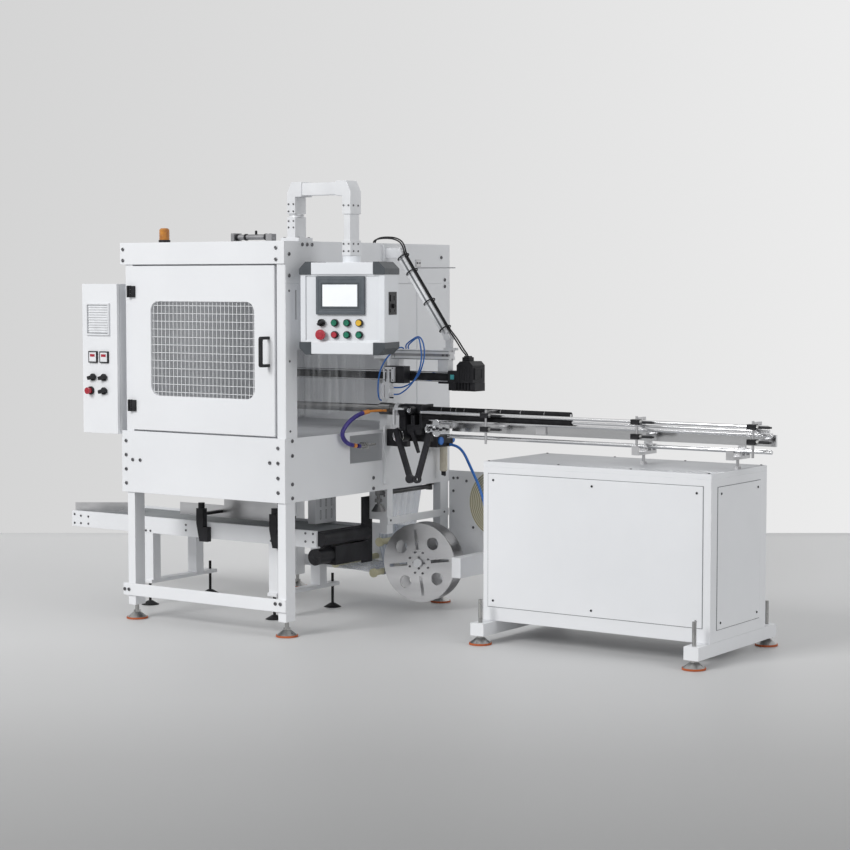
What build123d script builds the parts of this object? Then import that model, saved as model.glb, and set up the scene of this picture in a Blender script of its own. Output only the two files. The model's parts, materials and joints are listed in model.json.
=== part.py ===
from build123d import *
import math
import os

# Cup packing machine: a bagging housing on four posts, a discharge table below it, a side
# linear axis with a gripper, guide rods for cups and the cabinet that carries them.
# Millimetres. +X runs along the door face, +Y into the machine, +Z up.
# Pieces are laid out from the housing's front left corner on the floor; the exported
# origin is the centre of the front left levelling foot's sole.

# Housing
housing_width = 860.0
housing_depth = 1150.0
housing_height = 1555.0
post_width = 40.0
post_depth = 60.0
post_bottom = 68.0
left_cover = 22.0
left_cover_start = 48.0
front_sheet = 8.0
side_sheet = 4.0
lower_panel_bottom = 530.0
front_board_height = 89.0
upper_panel_share = 0.61
strip_depth = 80.0
strip_slot_width = 8.0
strip_slot_length = 117.0
strip_slot_drop = 25.0
rear_plate_start = 904.0
upper_panel_end = 740.0
inner_plate_start = 730.0
brace_bottom = 99.0
brace_height = 51.0
deck_thickness = 8.0
end_plate_thickness = 9.0
notch_front = 425.0
notch_back = 650.0
notch_height = 114.0

# Levelling feet
sole_radius = 44.0
sole_height = 7.0
cone_height = 20.0
cone_lip = 3.0
foot_nut_radius = 15.0
foot_nut_height = 8.0
stud_radius = 8.0

# Door
door_gap = 6.0
door_hinge_gap = 2.0
door_thickness = 20.0
window_left_margin = 101.0
window_right_margin = 102.0
window_bottom_margin = 143.0
window_top_margin = 144.0
window_radius = 40.0
mesh_pitch_x = 27.0
mesh_pitch_z = 31.5
mesh_wire = 3.0
mesh_setback = 8.0
mesh_clearance = 0.25
hinge_height = 48.0
hinge_low = 75.0
hinge_high = 128.0
hinge_third = 15.0
hinge_clear = 1.0
hinge_axis_x = 60.0
hinge_axis_y = -6.0
hinge_radius = 5.5
hinge_pin_radius = 2.6
hinge_bore_clearance = 0.4
hinge_leaf = 24.0
handle_inset = 29.0
handle_z = 1123.0
handle_length = 120.0
handle_reach = 55.0
handle_bar = 12.0
handle_width = 14.0
handle_round = 10.0

# Electrical cabinet
cabinet_width = 195.0
cabinet_front = -22.0
cabinet_depth = 200.0
cabinet_height = 618.0
cabinet_door = 16.0
cabinet_seal = 2.0
cabinet_seal_inset = 6.0
controller_side = 48.0
controller_reach = 8.0
selector_radius = 14.0
selector_reach = 20.0

# Roof fittings
beacon_x = 155.0
beacon_y = 100.0
beacon_radius = 24.0
beacon_height = 60.0
cylinder_right_inset = 130.0
cylinder_length = 200.0
cylinder_bore = 11.0

# Arm and panel
arm_inset = 55.0
arm_y = 150.0
arm_reach = 270.0
tube_width = 30.0
tube_depth = 60.0
elbow_wall = 5.0
elbow_bevel = 42.0
arm_flange = 90.0
arm_flange_height = 14.0
arm_ring_rise = 95.0
arm_ring_height = 12.0
arm_ring_radius = 30.0
boom_rise = 178.0
boom_height = 48.0
elbow_drop = 124.0
coupling_height = 60.0
coupling_gap = 26.0
panel_width = 350.0
panel_depth = 152.0
panel_ahead = 75.0
panel_drop = 85.0
panel_height = 353.0
panel_turn = 15.0
panel_shift = 11.0
rail_band = 46.0
rail_proud = 5.0
corner_length = 46.0
corner_chamfer = 26.0
corner_proud = 6.0
corner_wrap = 3.0
recess_depth = 6.0
recess_inset = 22.0
screen_width = 200.0
screen_height = 146.0
screen_proud = 4.0
button_radius = 14.0
button_reach = 10.0
stop_radius = 21.0
swing_gap = 0.5

# Side column, beam and linear axis
column_width = 40.0
column_front = 690.0
column_depth = 40.0
column_foot_z = 341.0
tie_bottom = 380.0
tie_height = 32.0
table_bracket_bottom = 400.0
table_bracket_reach = 54.0
head_plate_bottom = 556.0
head_plate_thickness = 12.0
table_bracket_thickness = 8.0
profile_side = 40.0
profile_slot = 8.0
profile_slot_depth = 6.0
beam_reach = 336.0
beam_rise = 375.0
beam_block = 34.0
beam_plate = 6.0
axis_side = 44.0
axis_height = 40.0
axis_rise = 287.0
axis_inside = 456.0
axis_reach = 331.0
belt_recess = 3.0
belt_height = 26.0
clamp_length = 52.0
clamp_depth = 34.0
clamp_height = 16.0
hanger_length = 50.0
motor_gap = 57.0
motor_length = 78.0
motor_depth = 90.0
motor_height = 86.0
motor_base_height = 34.0
motor_chamfer = 16.0
carriage_reach = 45.0
carriage_length = 99.0
carriage_depth = 45.0
carriage_drop = 9.0
carriage_height = 70.0
gripper_length = 54.0
gripper_plate = 12.0
gripper_height = 66.0
gripper_depth = 30.0
gripper_rise = 214.0
slide_gap = 0.5
hanger_clearance = 6.0
strut_side = 30.0
strut_low_reach = 312.0
strut_high_reach = 84.0
strut_high_drop = 50.0
strut_low_rise = 66.0

# Guide rods for the cups, with heights above the feed cabinet's top
rods_y = 640.0
rods_reach = 230.0
rods_length = 1540.0
rod_radius = 8.0
front_rod_radius = 7.0
core_radius = 6.0
foam_radius = 13.0
foam_clearance = 0.1
foam_start = 4.0
foam_back_length = 662.0
foam_front_length = 697.0
front_rod_y = 600.0
front_rod_rise = 163.0
middle_rod_rise = 131.0
bottom_rod_rise = 68.0
foam_back_y = 670.0
foam_back_rise = 170.0
foam_front_y = 616.0
foam_front_rise = 147.0
rail_y = 676.0
rail_depth = 12.0
rail_rise = 108.0
rail_height = 44.0
rail_offset = 106.0
rail_plate_reach = 740.0
rail_plate_width = 45.0
feed_tube_inside = 560.0
feed_tube_rise = 169.0
feed_tube_radius = 17.0
feed_nozzle_radius = 25.0
feed_nozzle_length = 57.0
feed_ring_radius = 23.0
hang_reach = 300.0
post_reaches = (555.0, 1236.0, 1719.0)
base_reaches = (1236.0, 1631.0)
post_y = 584.0
post_radius = 5.0
post_rise = 185.0
base_front = 572.0
base_back = 716.0
base_half = 15.0
base_rise = 37.0
base_thickness = 12.0
lug_height = 36.0
lug_thickness = 8.0
grip_half = 6.0
grip_height = 10.0
lower_grip_radius = 7.0
stand_radius = 6.0
stand_flange_radius = 14.0
stand_flange_height = 10.0

# Feed head
head_reach = 113.0
head_length = 61.0
head_plate = 12.0
head_front = 590.0
head_back = 684.0
head_body_inset = 22.0
head_link_inset = 32.0
head_height = 134.0
arm_bracket_height = 50.0
saddle_radius = 70.0
saddle_rise = 4.0
pivot_radius = 22.0
arm_thickness = 12.0
arm_bar = 24.0
arm_rise = 94.0
arm_end_drop = 108.0
arm_left_end = 200.0
arm_right_end = 236.0
arm_left_radius = 18.0
arm_right_radius = 16.0
arm_eye_radius = 8.0
arm_pin_radius = 8.0

# Feed cabinet
feed_reach = 669.0
feed_width = 980.0
feed_front = 392.0
feed_depth = 462.0
feed_bottom = 84.0
feed_height = 619.0
feed_top_sheet = 20.0
cover_proud = 3.0
channel_width = 60.0
channel_front = 301.0
channel_length = 653.0
channel_foot_inset = 25.0
channel_stud_rise = 90.0
stud_clearance = 0.5

# Discharge table
table_reach = 106.0
table_length = 1371.0
table_front = 335.0
table_depth = 333.0
rail_bottom = 312.0
table_rail_height = 70.0
rail_thickness = 12.0
belt_top = 372.0
belt_thickness = 8.0
belt_gap = 2.0
diverter_length = 305.0
diverter_height = 44.0
diverter_thickness = 10.0
diverter_turn = 35.0
table_leg = 50.0
table_leg_bottom = 110.0
foot_bar_height = 16.0
foot_bar_front = 10.0
foot_bar_back = 92.0
table_foot_radius = 38.0
table_foot_height = 16.0
table_stud_radius = 6.0
table_stud_above = 36.0
table_foot_inset = 20.0
leg_inset = 431.0
leg_spacing = 690.0
guide_inset = 545.0
guide_plate_length = 249.0
guide_plate_setback = 105.0
guide_plate_rise = 19.0
guide_plate_thickness = 5.0
guide_plate_height = 52.0
polished_length = 290.0
polished_height = 84.0
clamp_inset = 750.0
clamp_spacing = 396.0
clamp_width = 38.0
clamp_front = 26.0
clamp_step = 16.0
clamp_foot = 44.0
clamp_rise = 58.0
clamp_knob_height = 24.0
clamp_knob_radius = 14.0
drive_box_reach = 190.0
drive_box_width = 40.0
drive_box_depth = 143.0
drive_box_height = 134.0

# Reel and film
reel_reach = 38.0
reel_back = 249.0
reel_z = 206.0
reel_radius = 168.0
reel_disc = 4.0
reel_width = 82.0
reel_hub_radius = 38.0
reel_hole_radius = 27.0
reel_hole_share = 0.63
reel_slot_start = 56.0
reel_slot_end = 142.0
reel_slot_width = 14.0
reel_turn = 8.0
reel_yaw = 8.0
shaft_radius = 12.0
shaft_clearance = 0.4
carrier_reach = 246.0
carrier_width = 45.0
carrier_bottom = 165.0
carrier_height = 85.0
carrier_length = 346.0
roll_reach = 320.0
roll_z = 458.0
roll_radius = 143.0
roll_core_radius = 31.0
roll_back_gap = 16.0
roll_width = 90.0
core_clearance = 1.0
film_plate_thickness = 8.0
film_plate_reach = 485.0
film_plate_bottom = 165.0
film_plate_top = 577.0
lower_plate_reach = 420.0
lower_plate_top = 320.0
roller_radius = 13.0
roller_cap_radius = 19.0
roller_cap_length = 12.0
film_thickness = 1.0
film_gap = 0.3
film_top_reach = 98.0
film_front_inset = 290.0
film_back_inset = 20.0

# Regulator, hold-down foot and hose
regulator_reach = 45.0
regulator_ahead = 129.0
regulator_rise = 13.0
regulator_length = 122.0
regulator_width = 42.0
regulator_height = 50.0
bowl_radius = 17.0
bowl_height = 104.0
bowl_tip = 22.0
rod_z_place = 514.0
foot_bell_radius = 30.0
hose_radius = 6.0
hose_end_y = 765.0
hose_end_z = 205.0

# Cables along the strut
cable_radius = 3.0
cable_places = (663.0, 675.0)
cable_slack = 5.0


def block(x0, x1, y0, y1, z0, z1):
    size = (x1 - x0, y1 - y0, z1 - z0)
    middle = ((x0 + x1) / 2, (y0 + y1) / 2, (z0 + z1) / 2)
    return Pos(*middle) * Box(*size)


def rod_x(x0, x1, y, z, radius):
    return Pos((x0 + x1) / 2, y, z) * Rot(0, 90, 0) * Cylinder(radius, x1 - x0)


def rod_y(x, y0, y1, z, radius):
    return Pos(x, (y0 + y1) / 2, z) * Rot(90, 0, 0) * Cylinder(radius, y1 - y0)


def rod_z(x, y, z0, z1, radius):
    return Pos(x, y, (z0 + z1) / 2) * Cylinder(radius, z1 - z0)


def nut_z(x, y, z0, z1, radius):
    return Pos(x, y, z0) * extrude(RegularPolygon(radius, 6), z1 - z0)


def side_profile(points, y0, y1):
    face = make_face(Polyline(*points, close=True))
    return Pos(0, y0, 0) * extrude(Plane.XZ * face, amount=y0 - y1)


def slotted_bar(length, side_length):
    # A square aluminium profile along X with a slot in each long side
    bar = Box(length, side_length, side_length)
    inner = side_length / 2 - profile_slot_depth / 2
    for side in (-1, 1):
        bar = bar - Pos(0, side * inner, 0) * Box(length, profile_slot_depth, profile_slot)
        bar = bar - Pos(0, 0, side * inner) * Box(length, profile_slot, profile_slot_depth)
    return bar


# Places worked out from the sizes above
right_face = housing_width
right_inner = housing_width - side_sheet
rear_inner = housing_depth - side_sheet
right_post_x = right_inner - post_width
rear_post_y = rear_inner - post_depth
foot_x = left_cover + post_width / 2
foot_y = front_sheet + post_depth / 2
post_corners = [
    (left_cover, front_sheet),
    (right_post_x, front_sheet),
    (left_cover, rear_post_y),
    (right_post_x, rear_post_y),
]
top_inner = housing_height - side_sheet
feed_top = feed_bottom + feed_height
lower_panel_top = feed_top + 81
deck_top = lower_panel_top - 6
notch_top = deck_top - deck_thickness
notch_bottom = notch_top - notch_height
axis_bottom = feed_top + axis_rise
beam_bottom = feed_top + beam_rise
beam_top = beam_bottom + profile_side
upper_panel_bottom = beam_top + 12
side_board_bottom = upper_panel_bottom + (housing_height - upper_panel_bottom) * upper_panel_share
front_board_bottom = housing_height - front_board_height
foot_height = sole_height + cone_height + foot_nut_height
channel_bottom = foot_height
door_left = left_cover + post_width + door_hinge_gap
door_right = right_post_x - door_gap
door_bottom = lower_panel_top + door_gap
door_top = front_board_bottom - door_gap
window_left = door_left + window_left_margin
window_right = door_right - window_right_margin
window_bottom = door_bottom + window_bottom_margin
window_top = door_top - window_top_margin
window_x = (window_left + window_right) / 2
window_z = (window_bottom + window_top) / 2
hinge_bottoms = (door_bottom + hinge_low, door_top - hinge_high)
column_x = right_inner - column_width
column_back = column_front + column_depth
axis_back = column_front
axis_front = axis_back - axis_side
beam_back = column_front
beam_front = beam_back - profile_side
beam_right = right_face + beam_reach
axis_top = axis_bottom + axis_height
axis_right = right_face + axis_reach


# Housing frame and covers
def corner_posts():
    frame = None
    for x, y in post_corners:
        tube = block(x, x + post_width, y, y + post_depth, post_bottom - end_plate_thickness, top_inner)
        frame = tube if frame is None else frame + tube
    brace_top = brace_bottom + brace_height
    front_brace = block(0, housing_width, 0, front_sheet, brace_bottom, brace_top)
    rear_brace = block(0, housing_width, rear_inner, housing_depth, brace_bottom, brace_top)
    return frame + front_brace + rear_brace


def top_boards():
    front = block(0, housing_width, 0, front_sheet, front_board_bottom, housing_height)
    right = block(right_inner, housing_width, front_sheet, rear_inner, side_board_bottom, housing_height)
    left = block(0, left_cover, left_cover_start, rear_inner, side_board_bottom, housing_height)
    rear = block(0, housing_width, rear_inner, housing_depth, side_board_bottom, housing_height)
    lid = block(left_cover, right_inner, front_sheet, rear_inner, top_inner, housing_height)
    return front + right + left + rear + lid


def lower_panels():
    low = lower_panel_bottom
    high = lower_panel_top
    front = block(0, housing_width, 0, front_sheet, low, high)
    left = block(0, left_cover, left_cover_start, rear_inner, low, high)
    rear = block(0, housing_width, rear_inner, housing_depth, low, high)
    side = block(right_inner, housing_width, front_sheet, rear_inner, low, high)
    notch = block(right_inner, housing_width, notch_front, notch_back, notch_bottom, notch_top)
    return front + left + rear + (side - notch)


def side_cover_strip():
    strip = block(right_inner, housing_width, front_sheet, strip_depth, lower_panel_top, side_board_bottom)
    slot_top = side_board_bottom - strip_slot_drop
    slot_back = strip_depth - front_sheet / 4
    slot_bottom = slot_top - strip_slot_length
    slot = block(right_inner, housing_width, slot_back - strip_slot_width, slot_back, slot_bottom, slot_top)
    return strip - slot


def upper_side_panel():
    return block(
        right_inner, housing_width, strip_depth, upper_panel_end, upper_panel_bottom, side_board_bottom
    )


def rear_side_plate():
    outer = block(
        right_inner, housing_width, rear_plate_start, rear_inner, lower_panel_top, side_board_bottom
    )
    overlap = rear_plate_start + 2 * side_sheet
    inner = block(
        right_inner - side_sheet, right_inner, inner_plate_start, overlap, lower_panel_top, side_board_bottom
    )
    return outer + inner


def plain_covers():
    left = block(0, left_cover, left_cover_start, rear_inner, lower_panel_top, side_board_bottom)
    rear = block(0, housing_width, rear_inner, housing_depth, lower_panel_top, side_board_bottom)
    return left + rear


def deck_plate():
    deck = block(left_cover, right_inner, front_sheet, rear_inner, deck_top - deck_thickness, deck_top)
    for x, y in post_corners:
        deck = deck - block(x, x + post_width, y, y + post_depth, 0, housing_height)
    return deck - block(column_x, right_inner, column_front, column_back, 0, housing_height)


# Levelling feet
def levelling_foot(x, y, top):
    cone_top = sole_height + cone_height
    cone = Pos(x, y, sole_height + cone_height / 2) * Cone(
        sole_radius - cone_lip, foot_nut_radius, cone_height
    )
    nut = nut_z(x, y, cone_top, cone_top + foot_nut_height, foot_nut_radius)
    return cone + nut + rod_z(x, y, cone_top, top, stud_radius)


def foot_places():
    places = []
    for x, y in post_corners:
        centre_x = x + post_width / 2
        places.append((centre_x, y + post_depth / 2, post_bottom - end_plate_thickness))
    for x in (feed_left + channel_width / 2, feed_right - channel_width / 2):
        for y in (channel_front + channel_foot_inset, channel_back - channel_foot_inset):
            places.append((x, y, feed_bottom + channel_stud_rise))
    return places


def levelling_feet():
    return Compound([levelling_foot(x, y, top) for x, y, top in foot_places()])


def sole_pads():
    return Compound([rod_z(x, y, 0, sole_height, sole_radius) for x, y, top in foot_places()])


# Door
def window_sheet(clearance):
    width = window_right - window_left - 2 * clearance
    height = window_top - window_bottom - 2 * clearance
    return RectangleRounded(width, height, window_radius - clearance)


def door_panel():
    slab = block(door_left, door_right, 0, door_thickness, door_bottom, door_top)
    window = extrude(Plane.XZ * Pos(window_x, window_z) * window_sheet(0), amount=-door_thickness)
    return slab - window


def door_mesh():
    columns = int((window_right - window_left) / mesh_pitch_x)
    rows = int((window_top - window_bottom) / mesh_pitch_z)
    cell = Rectangle(mesh_pitch_x - mesh_wire, mesh_pitch_z - mesh_wire)
    corner_x = (columns - 1) / 2 * mesh_pitch_x
    corner_z = (rows - 1) / 2 * mesh_pitch_z
    openings = []
    for place in GridLocations(mesh_pitch_x, mesh_pitch_z, columns, rows):
        beside = abs(place.position.X) > corner_x - mesh_wire
        above = abs(place.position.Y) > corner_z - mesh_wire
        if not (beside and above):
            openings.append(place * cell)
    sheet = window_sheet(mesh_clearance) - openings
    lattice = extrude(Plane.XZ * Pos(window_x, window_z) * sheet, amount=-mesh_wire)
    return Pos(0, mesh_setback, 0) * lattice


def door_handle():
    outer = RectangleRounded(2 * handle_reach, handle_length, handle_round)
    inner = RectangleRounded(2 * (handle_reach - handle_bar), handle_length - 2 * handle_bar, handle_round / 2)
    loop = extrude(Plane.YZ * (outer - inner), amount=handle_width)
    door_side = block(0, handle_width, 0, handle_reach, -handle_length, handle_length)
    grip_x = door_right - handle_inset - handle_width / 2
    return Pos(grip_x, 0, handle_z) * (loop - door_side)


def door_hinges():
    pieces = []
    for z in hinge_bottoms:
        low = z + hinge_third + hinge_clear
        high = z + hinge_height - hinge_third - hinge_clear
        knuckle = rod_z(hinge_axis_x, hinge_axis_y, low, high, hinge_radius)
        leaf = block(hinge_axis_x, hinge_axis_x + hinge_leaf, hinge_axis_y, 0, low, high)
        bore = rod_z(hinge_axis_x, hinge_axis_y, low, high, hinge_pin_radius + hinge_bore_clearance)
        pieces.append(knuckle + leaf - bore)
    return Compound(pieces)


def post_hinges():
    pieces = []
    leaf_x = hinge_axis_x - hinge_leaf * 2 / 3
    for z in hinge_bottoms:
        piece = rod_z(hinge_axis_x, hinge_axis_y, z, z + hinge_height, hinge_pin_radius)
        for low in (z, z + hinge_height - hinge_third):
            high = low + hinge_third
            piece = piece + rod_z(hinge_axis_x, hinge_axis_y, low, high, hinge_radius)
            piece = piece + block(leaf_x, hinge_axis_x, hinge_axis_y, front_sheet, low, high)
        pieces.append(piece)
    return Compound(pieces)


# Electrical cabinet
cabinet_top = side_board_bottom - cabinet_seal
cabinet_bottom = cabinet_top - cabinet_height


def electrical_cabinet():
    door_back = cabinet_front + cabinet_door
    body_front = door_back + cabinet_seal
    body_back = cabinet_front + cabinet_depth
    inset = cabinet_seal_inset
    door = block(-cabinet_width, 0, cabinet_front, door_back, cabinet_bottom, cabinet_top)
    seal = block(
        inset - cabinet_width, -inset, door_back, body_front, cabinet_bottom + inset, cabinet_top - inset
    )
    body = block(-cabinet_width, 0, body_front, body_back, cabinet_bottom, cabinet_top)
    return door + seal + body


def cabinet_controls():
    pieces = []
    controller_z = cabinet_top - 302
    row_z = cabinet_top - 386
    stop_z = cabinet_top - 442
    half = controller_side / 2
    front = cabinet_front - controller_reach
    for x in (63 - cabinet_width, 125 - cabinet_width):
        pieces.append(block(x - half, x + half, front, cabinet_front, controller_z - half, controller_z + half))
    for x, z in ((60, row_z), (121, row_z), (121, stop_z)):
        knob_front = cabinet_front - selector_reach
        pieces.append(rod_y(x - cabinet_width, knob_front, cabinet_front, z, selector_radius))
    stop_x = 48 - cabinet_width
    stem = rod_y(stop_x, cabinet_front - selector_reach, cabinet_front, stop_z, selector_radius - 2)
    cap = rod_y(stop_x, cabinet_front - selector_reach - 8, cabinet_front - selector_reach, stop_z, stop_radius)
    pieces.append(stem + cap)
    return Compound(pieces)


# Roof fittings
base_height = beacon_height / 5


def beacon_base():
    return rod_z(beacon_x, beacon_y, housing_height, housing_height + base_height, beacon_radius)


def beacon_lens():
    cap = beacon_height / 10
    radius = beacon_radius - 3
    lens_bottom = housing_height + base_height
    lens_top = housing_height + beacon_height - cap
    dome = Pos(beacon_x, beacon_y, lens_top + cap / 2) * Cone(radius, radius - cap, cap)
    return rod_z(beacon_x, beacon_y, lens_bottom, lens_top, radius) + dome


def top_cylinder():
    right = housing_width - cylinder_right_inset
    left = right - cylinder_length
    axis_z = housing_height + cylinder_bore + 7
    plate = block(left, left + 15, beacon_y - 25, beacon_y + 25, housing_height, axis_z + 16)
    body = rod_x(left + 15, right - 30, beacon_y, axis_z, cylinder_bore)
    end = block(right - 30, right, beacon_y - 15, beacon_y + 15, housing_height, axis_z + 12)
    return plate + body + end


# Suspension arm and operator panel
arm_x = housing_width - arm_inset
arm_ring_z = housing_height + arm_ring_rise
panel_x = arm_x + arm_reach
panel_top = housing_height - panel_drop
panel_bottom = panel_top - panel_height
coupling_bottom = panel_top + coupling_gap
elbow_half = tube_width / 2 + elbow_wall
elbow_front = arm_y - tube_depth / 2 - elbow_wall
elbow_back = arm_y + tube_depth / 2 + elbow_wall


def arm_base():
    half = arm_flange / 2
    flange_top = housing_height + arm_flange_height
    flange = block(arm_x - half, arm_x + half, arm_y - half, arm_y + half, housing_height, flange_top)
    post = block(arm_x - elbow_half, arm_x + elbow_half, elbow_front, elbow_back, flange_top, arm_ring_z)
    ring = rod_z(arm_x, arm_y, arm_ring_z, arm_ring_z + arm_ring_height / 2, arm_ring_radius)
    return flange + post + ring


def swing_arm():
    low = arm_ring_z + arm_ring_height / 2 + swing_gap
    elbow_low = low + arm_ring_height / 2
    boom_bottom = housing_height + boom_rise
    boom_top = boom_bottom + boom_height
    top = boom_top + elbow_wall
    under = boom_bottom - elbow_wall
    left = arm_x - elbow_half
    sleeve = 1.7 * tube_width
    right = panel_x + elbow_half
    y0 = arm_y - tube_depth / 2
    y1 = arm_y + tube_depth / 2
    ring = rod_z(arm_x, arm_y, low, elbow_low, arm_ring_radius)
    base_elbow = side_profile(
        [
            (left, elbow_low), (left, top - elbow_bevel), (left + elbow_bevel / 2, top),
            (arm_x + sleeve, top), (arm_x + sleeve, under), (arm_x + elbow_half, under),
            (arm_x + elbow_half, elbow_low),
        ],
        elbow_front,
        elbow_back,
    )
    drop_low = boom_top - elbow_drop
    end_elbow = side_profile(
        [
            (panel_x - sleeve, under), (panel_x - sleeve, top), (right - elbow_bevel / 2, top),
            (right, top - elbow_bevel), (right, drop_low), (panel_x - elbow_half, drop_low),
            (panel_x - elbow_half, under),
        ],
        elbow_front,
        elbow_back,
    )
    boom = block(arm_x, panel_x, y0, y1, boom_bottom, boom_top)
    drop = block(panel_x - tube_width / 2, panel_x + tube_width / 2, y0, y1, coupling_bottom, boom_bottom)
    coupling = block(
        panel_x - elbow_half,
        panel_x + elbow_half,
        elbow_front,
        elbow_back,
        coupling_bottom,
        coupling_bottom + coupling_height,
    )
    return ring + base_elbow + boom + end_elbow + drop + coupling


panel_middle_x = panel_x - panel_shift


def turned(piece):
    return Pos(panel_middle_x, arm_y, 0) * Rot(0, 0, panel_turn) * piece


panel_half = panel_width / 2
panel_face = -panel_ahead
panel_back = panel_depth - panel_ahead
recess_bottom = panel_bottom + rail_band + recess_depth
recess_top = panel_top - rail_band - recess_depth


def chamfered_front(grow, y0, y1):
    left = -panel_half - grow
    right = panel_half + grow
    low = panel_bottom - grow
    high = panel_top + grow
    cut = corner_chamfer
    points = [
        (left + cut, low), (right - cut, low), (right, low + cut), (right, high - cut),
        (right - cut, high), (left + cut, high), (left, high - cut), (left, low + cut),
    ]
    return side_profile(points, y0, y1)


def hmi_box():
    body = chamfered_front(0, panel_face, panel_back)
    recess = block(
        recess_inset - panel_half,
        panel_half - recess_inset,
        panel_face,
        panel_face + recess_depth,
        recess_bottom,
        recess_top,
    )
    body = body - recess
    rail_half = panel_half - corner_length
    for low in (panel_bottom, panel_top - rail_band):
        rail = block(-rail_half, rail_half, panel_face - rail_proud, panel_face, low, low + rail_band)
        body = body + rail
    flange_top = coupling_bottom - swing_gap
    flange = rod_z(panel_x, arm_y, panel_top, flange_top, elbow_half + elbow_wall * 3)
    return turned(body) + flange


def hmi_corners():
    front = panel_face - corner_proud
    back = panel_back + corner_wrap / 3
    shell = chamfered_front(corner_wrap, front, back) - chamfered_front(0, panel_face, panel_back)
    pieces = []
    for x0, x1 in ((-panel_width, corner_length - panel_half), (panel_half - corner_length, panel_width)):
        for z0, z1 in (
            (panel_bottom - rail_band, panel_bottom + rail_band),
            (panel_top - rail_band, panel_top + rail_band),
        ):
            pieces.append(turned(shell & block(x0, x1, front, back, z0, z1)))
    return Compound(pieces)


screen_x = -8.0
screen_z = recess_top - screen_height / 2 - 2


def hmi_screen():
    half_width = screen_width / 2
    half_height = screen_height / 2
    front = panel_face - screen_proud
    bezel = block(
        screen_x - half_width,
        screen_x + half_width,
        front,
        panel_face + recess_depth,
        screen_z - half_height,
        screen_z + half_height,
    )
    display = block(
        screen_x - half_width * 0.71,
        screen_x + half_width * 0.71,
        front,
        front + screen_proud / 2,
        screen_z - half_height * 0.55,
        screen_z + half_height * 0.55,
    )
    return turned(bezel - display)


button_columns = (-87.0, -32.0, 19.0, 70.0)
button_rows = (recess_bottom + 69, recess_bottom + 23)


def hmi_buttons():
    pieces = []
    seat = panel_face + recess_depth
    for row_z in button_rows:
        for x in button_columns:
            button = rod_y(x, panel_face - button_reach, seat, row_z, button_radius)
            if row_z == button_rows[-1] and x == button_columns[0]:
                head_back = panel_face - button_reach
                button = button + rod_y(x, head_back - button_reach, head_back, row_z, stop_radius)
            pieces.append(turned(button))
    return Compound(pieces)


# Side column, beam and linear axis
def side_column():
    post = block(column_x, right_inner, column_front, column_back, column_foot_z, side_board_bottom)
    tie = block(right_inner, housing_width, column_front, rear_inner, tie_bottom, tie_bottom + tie_height)
    bracket_left = column_x - table_bracket_reach
    bracket_back = column_front + table_bracket_thickness
    bracket = block(
        bracket_left, column_x, column_front, bracket_back, table_bracket_bottom, lower_panel_bottom
    )
    head_plate_back = column_front - 1
    head_plate_front = head_plate_back - profile_side + 3
    head_plate = block(
        right_face,
        right_face + head_plate_thickness,
        head_plate_front,
        head_plate_back,
        head_plate_bottom,
        feed_top + 97,
    )
    return Compound([post + tie + bracket, head_plate])


hanger_places = (right_face + 33.0, right_face + 277.0)


def support_beam():
    beam_left = housing_width + beam_block + beam_plate
    length = beam_right - beam_left
    middle_y = beam_back - profile_side / 2
    middle_z = beam_bottom + profile_side / 2
    beam = Pos(beam_left + length / 2, middle_y, middle_z) * slotted_bar(length, profile_side)
    plate_left = housing_width + beam_block
    plate = block(plate_left, beam_left, beam_front - 2, beam_back, beam_bottom - 2, beam_top + 2)
    mount = block(column_x, plate_left, beam_front, beam_back, beam_bottom, beam_top)
    hanger_front = axis_front + hanger_clearance
    for x in hanger_places:
        beam = beam + block(x, x + hanger_length, hanger_front, beam_back, axis_top, beam_bottom)
    return beam + plate + mount


def diagonal_strut():
    low = Vector(right_face + strut_low_reach, 0, beam_top + strut_low_rise)
    high = Vector(right_face + strut_high_reach, 0, housing_height - strut_high_drop)
    along = high - low
    slope = math.degrees(math.atan2(along.Z, along.X))
    middle = (low + high) * 0.5
    middle_y = beam_back - profile_side / 2
    bar = Pos(middle.X, middle_y, middle.Z) * Rot(0, -slope, 0) * slotted_bar(along.length, strut_side)
    y0 = middle_y - strut_side / 4
    y1 = middle_y + strut_side / 4
    knuckle = strut_side / 2
    top_lug = block(right_face, high.X, y0, y1, high.Z - 10, high.Z + 30)
    top_plate = block(right_face, right_face + 10, beam_front, beam_back, high.Z - 22, high.Z + 42)
    top_pin = rod_y(high.X, beam_front, beam_back, high.Z + 6, knuckle)
    foot_lug = block(low.X - 4, low.X + 24, y0, y1, beam_top + 10, low.Z - 20)
    foot_plate = block(low.X - 6, low.X + profile_side, beam_front, beam_back, beam_top, beam_top + 10)
    foot_pin = rod_y(low.X + 8, beam_front, beam_back, low.Z - 12, knuckle)
    return bar + top_lug + top_plate + top_pin + foot_lug + foot_plate + foot_pin


def linear_axis():
    axis_left = right_face - axis_inside
    axis = block(axis_left, axis_right, axis_front, axis_back, axis_bottom, axis_top)
    belt_low = (axis_bottom + axis_top - belt_height) / 2
    axis = axis - block(
        axis_left, axis_right, axis_front, axis_front + belt_recess, belt_low, belt_low + belt_height
    )
    clamp_left = hanger_places[-1] - 1
    clamp_front = axis_back - clamp_depth
    clamp = block(
        clamp_left, clamp_left + clamp_length, clamp_front, axis_back, axis_bottom - clamp_height / 2, axis_bottom
    )
    return axis + clamp


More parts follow.
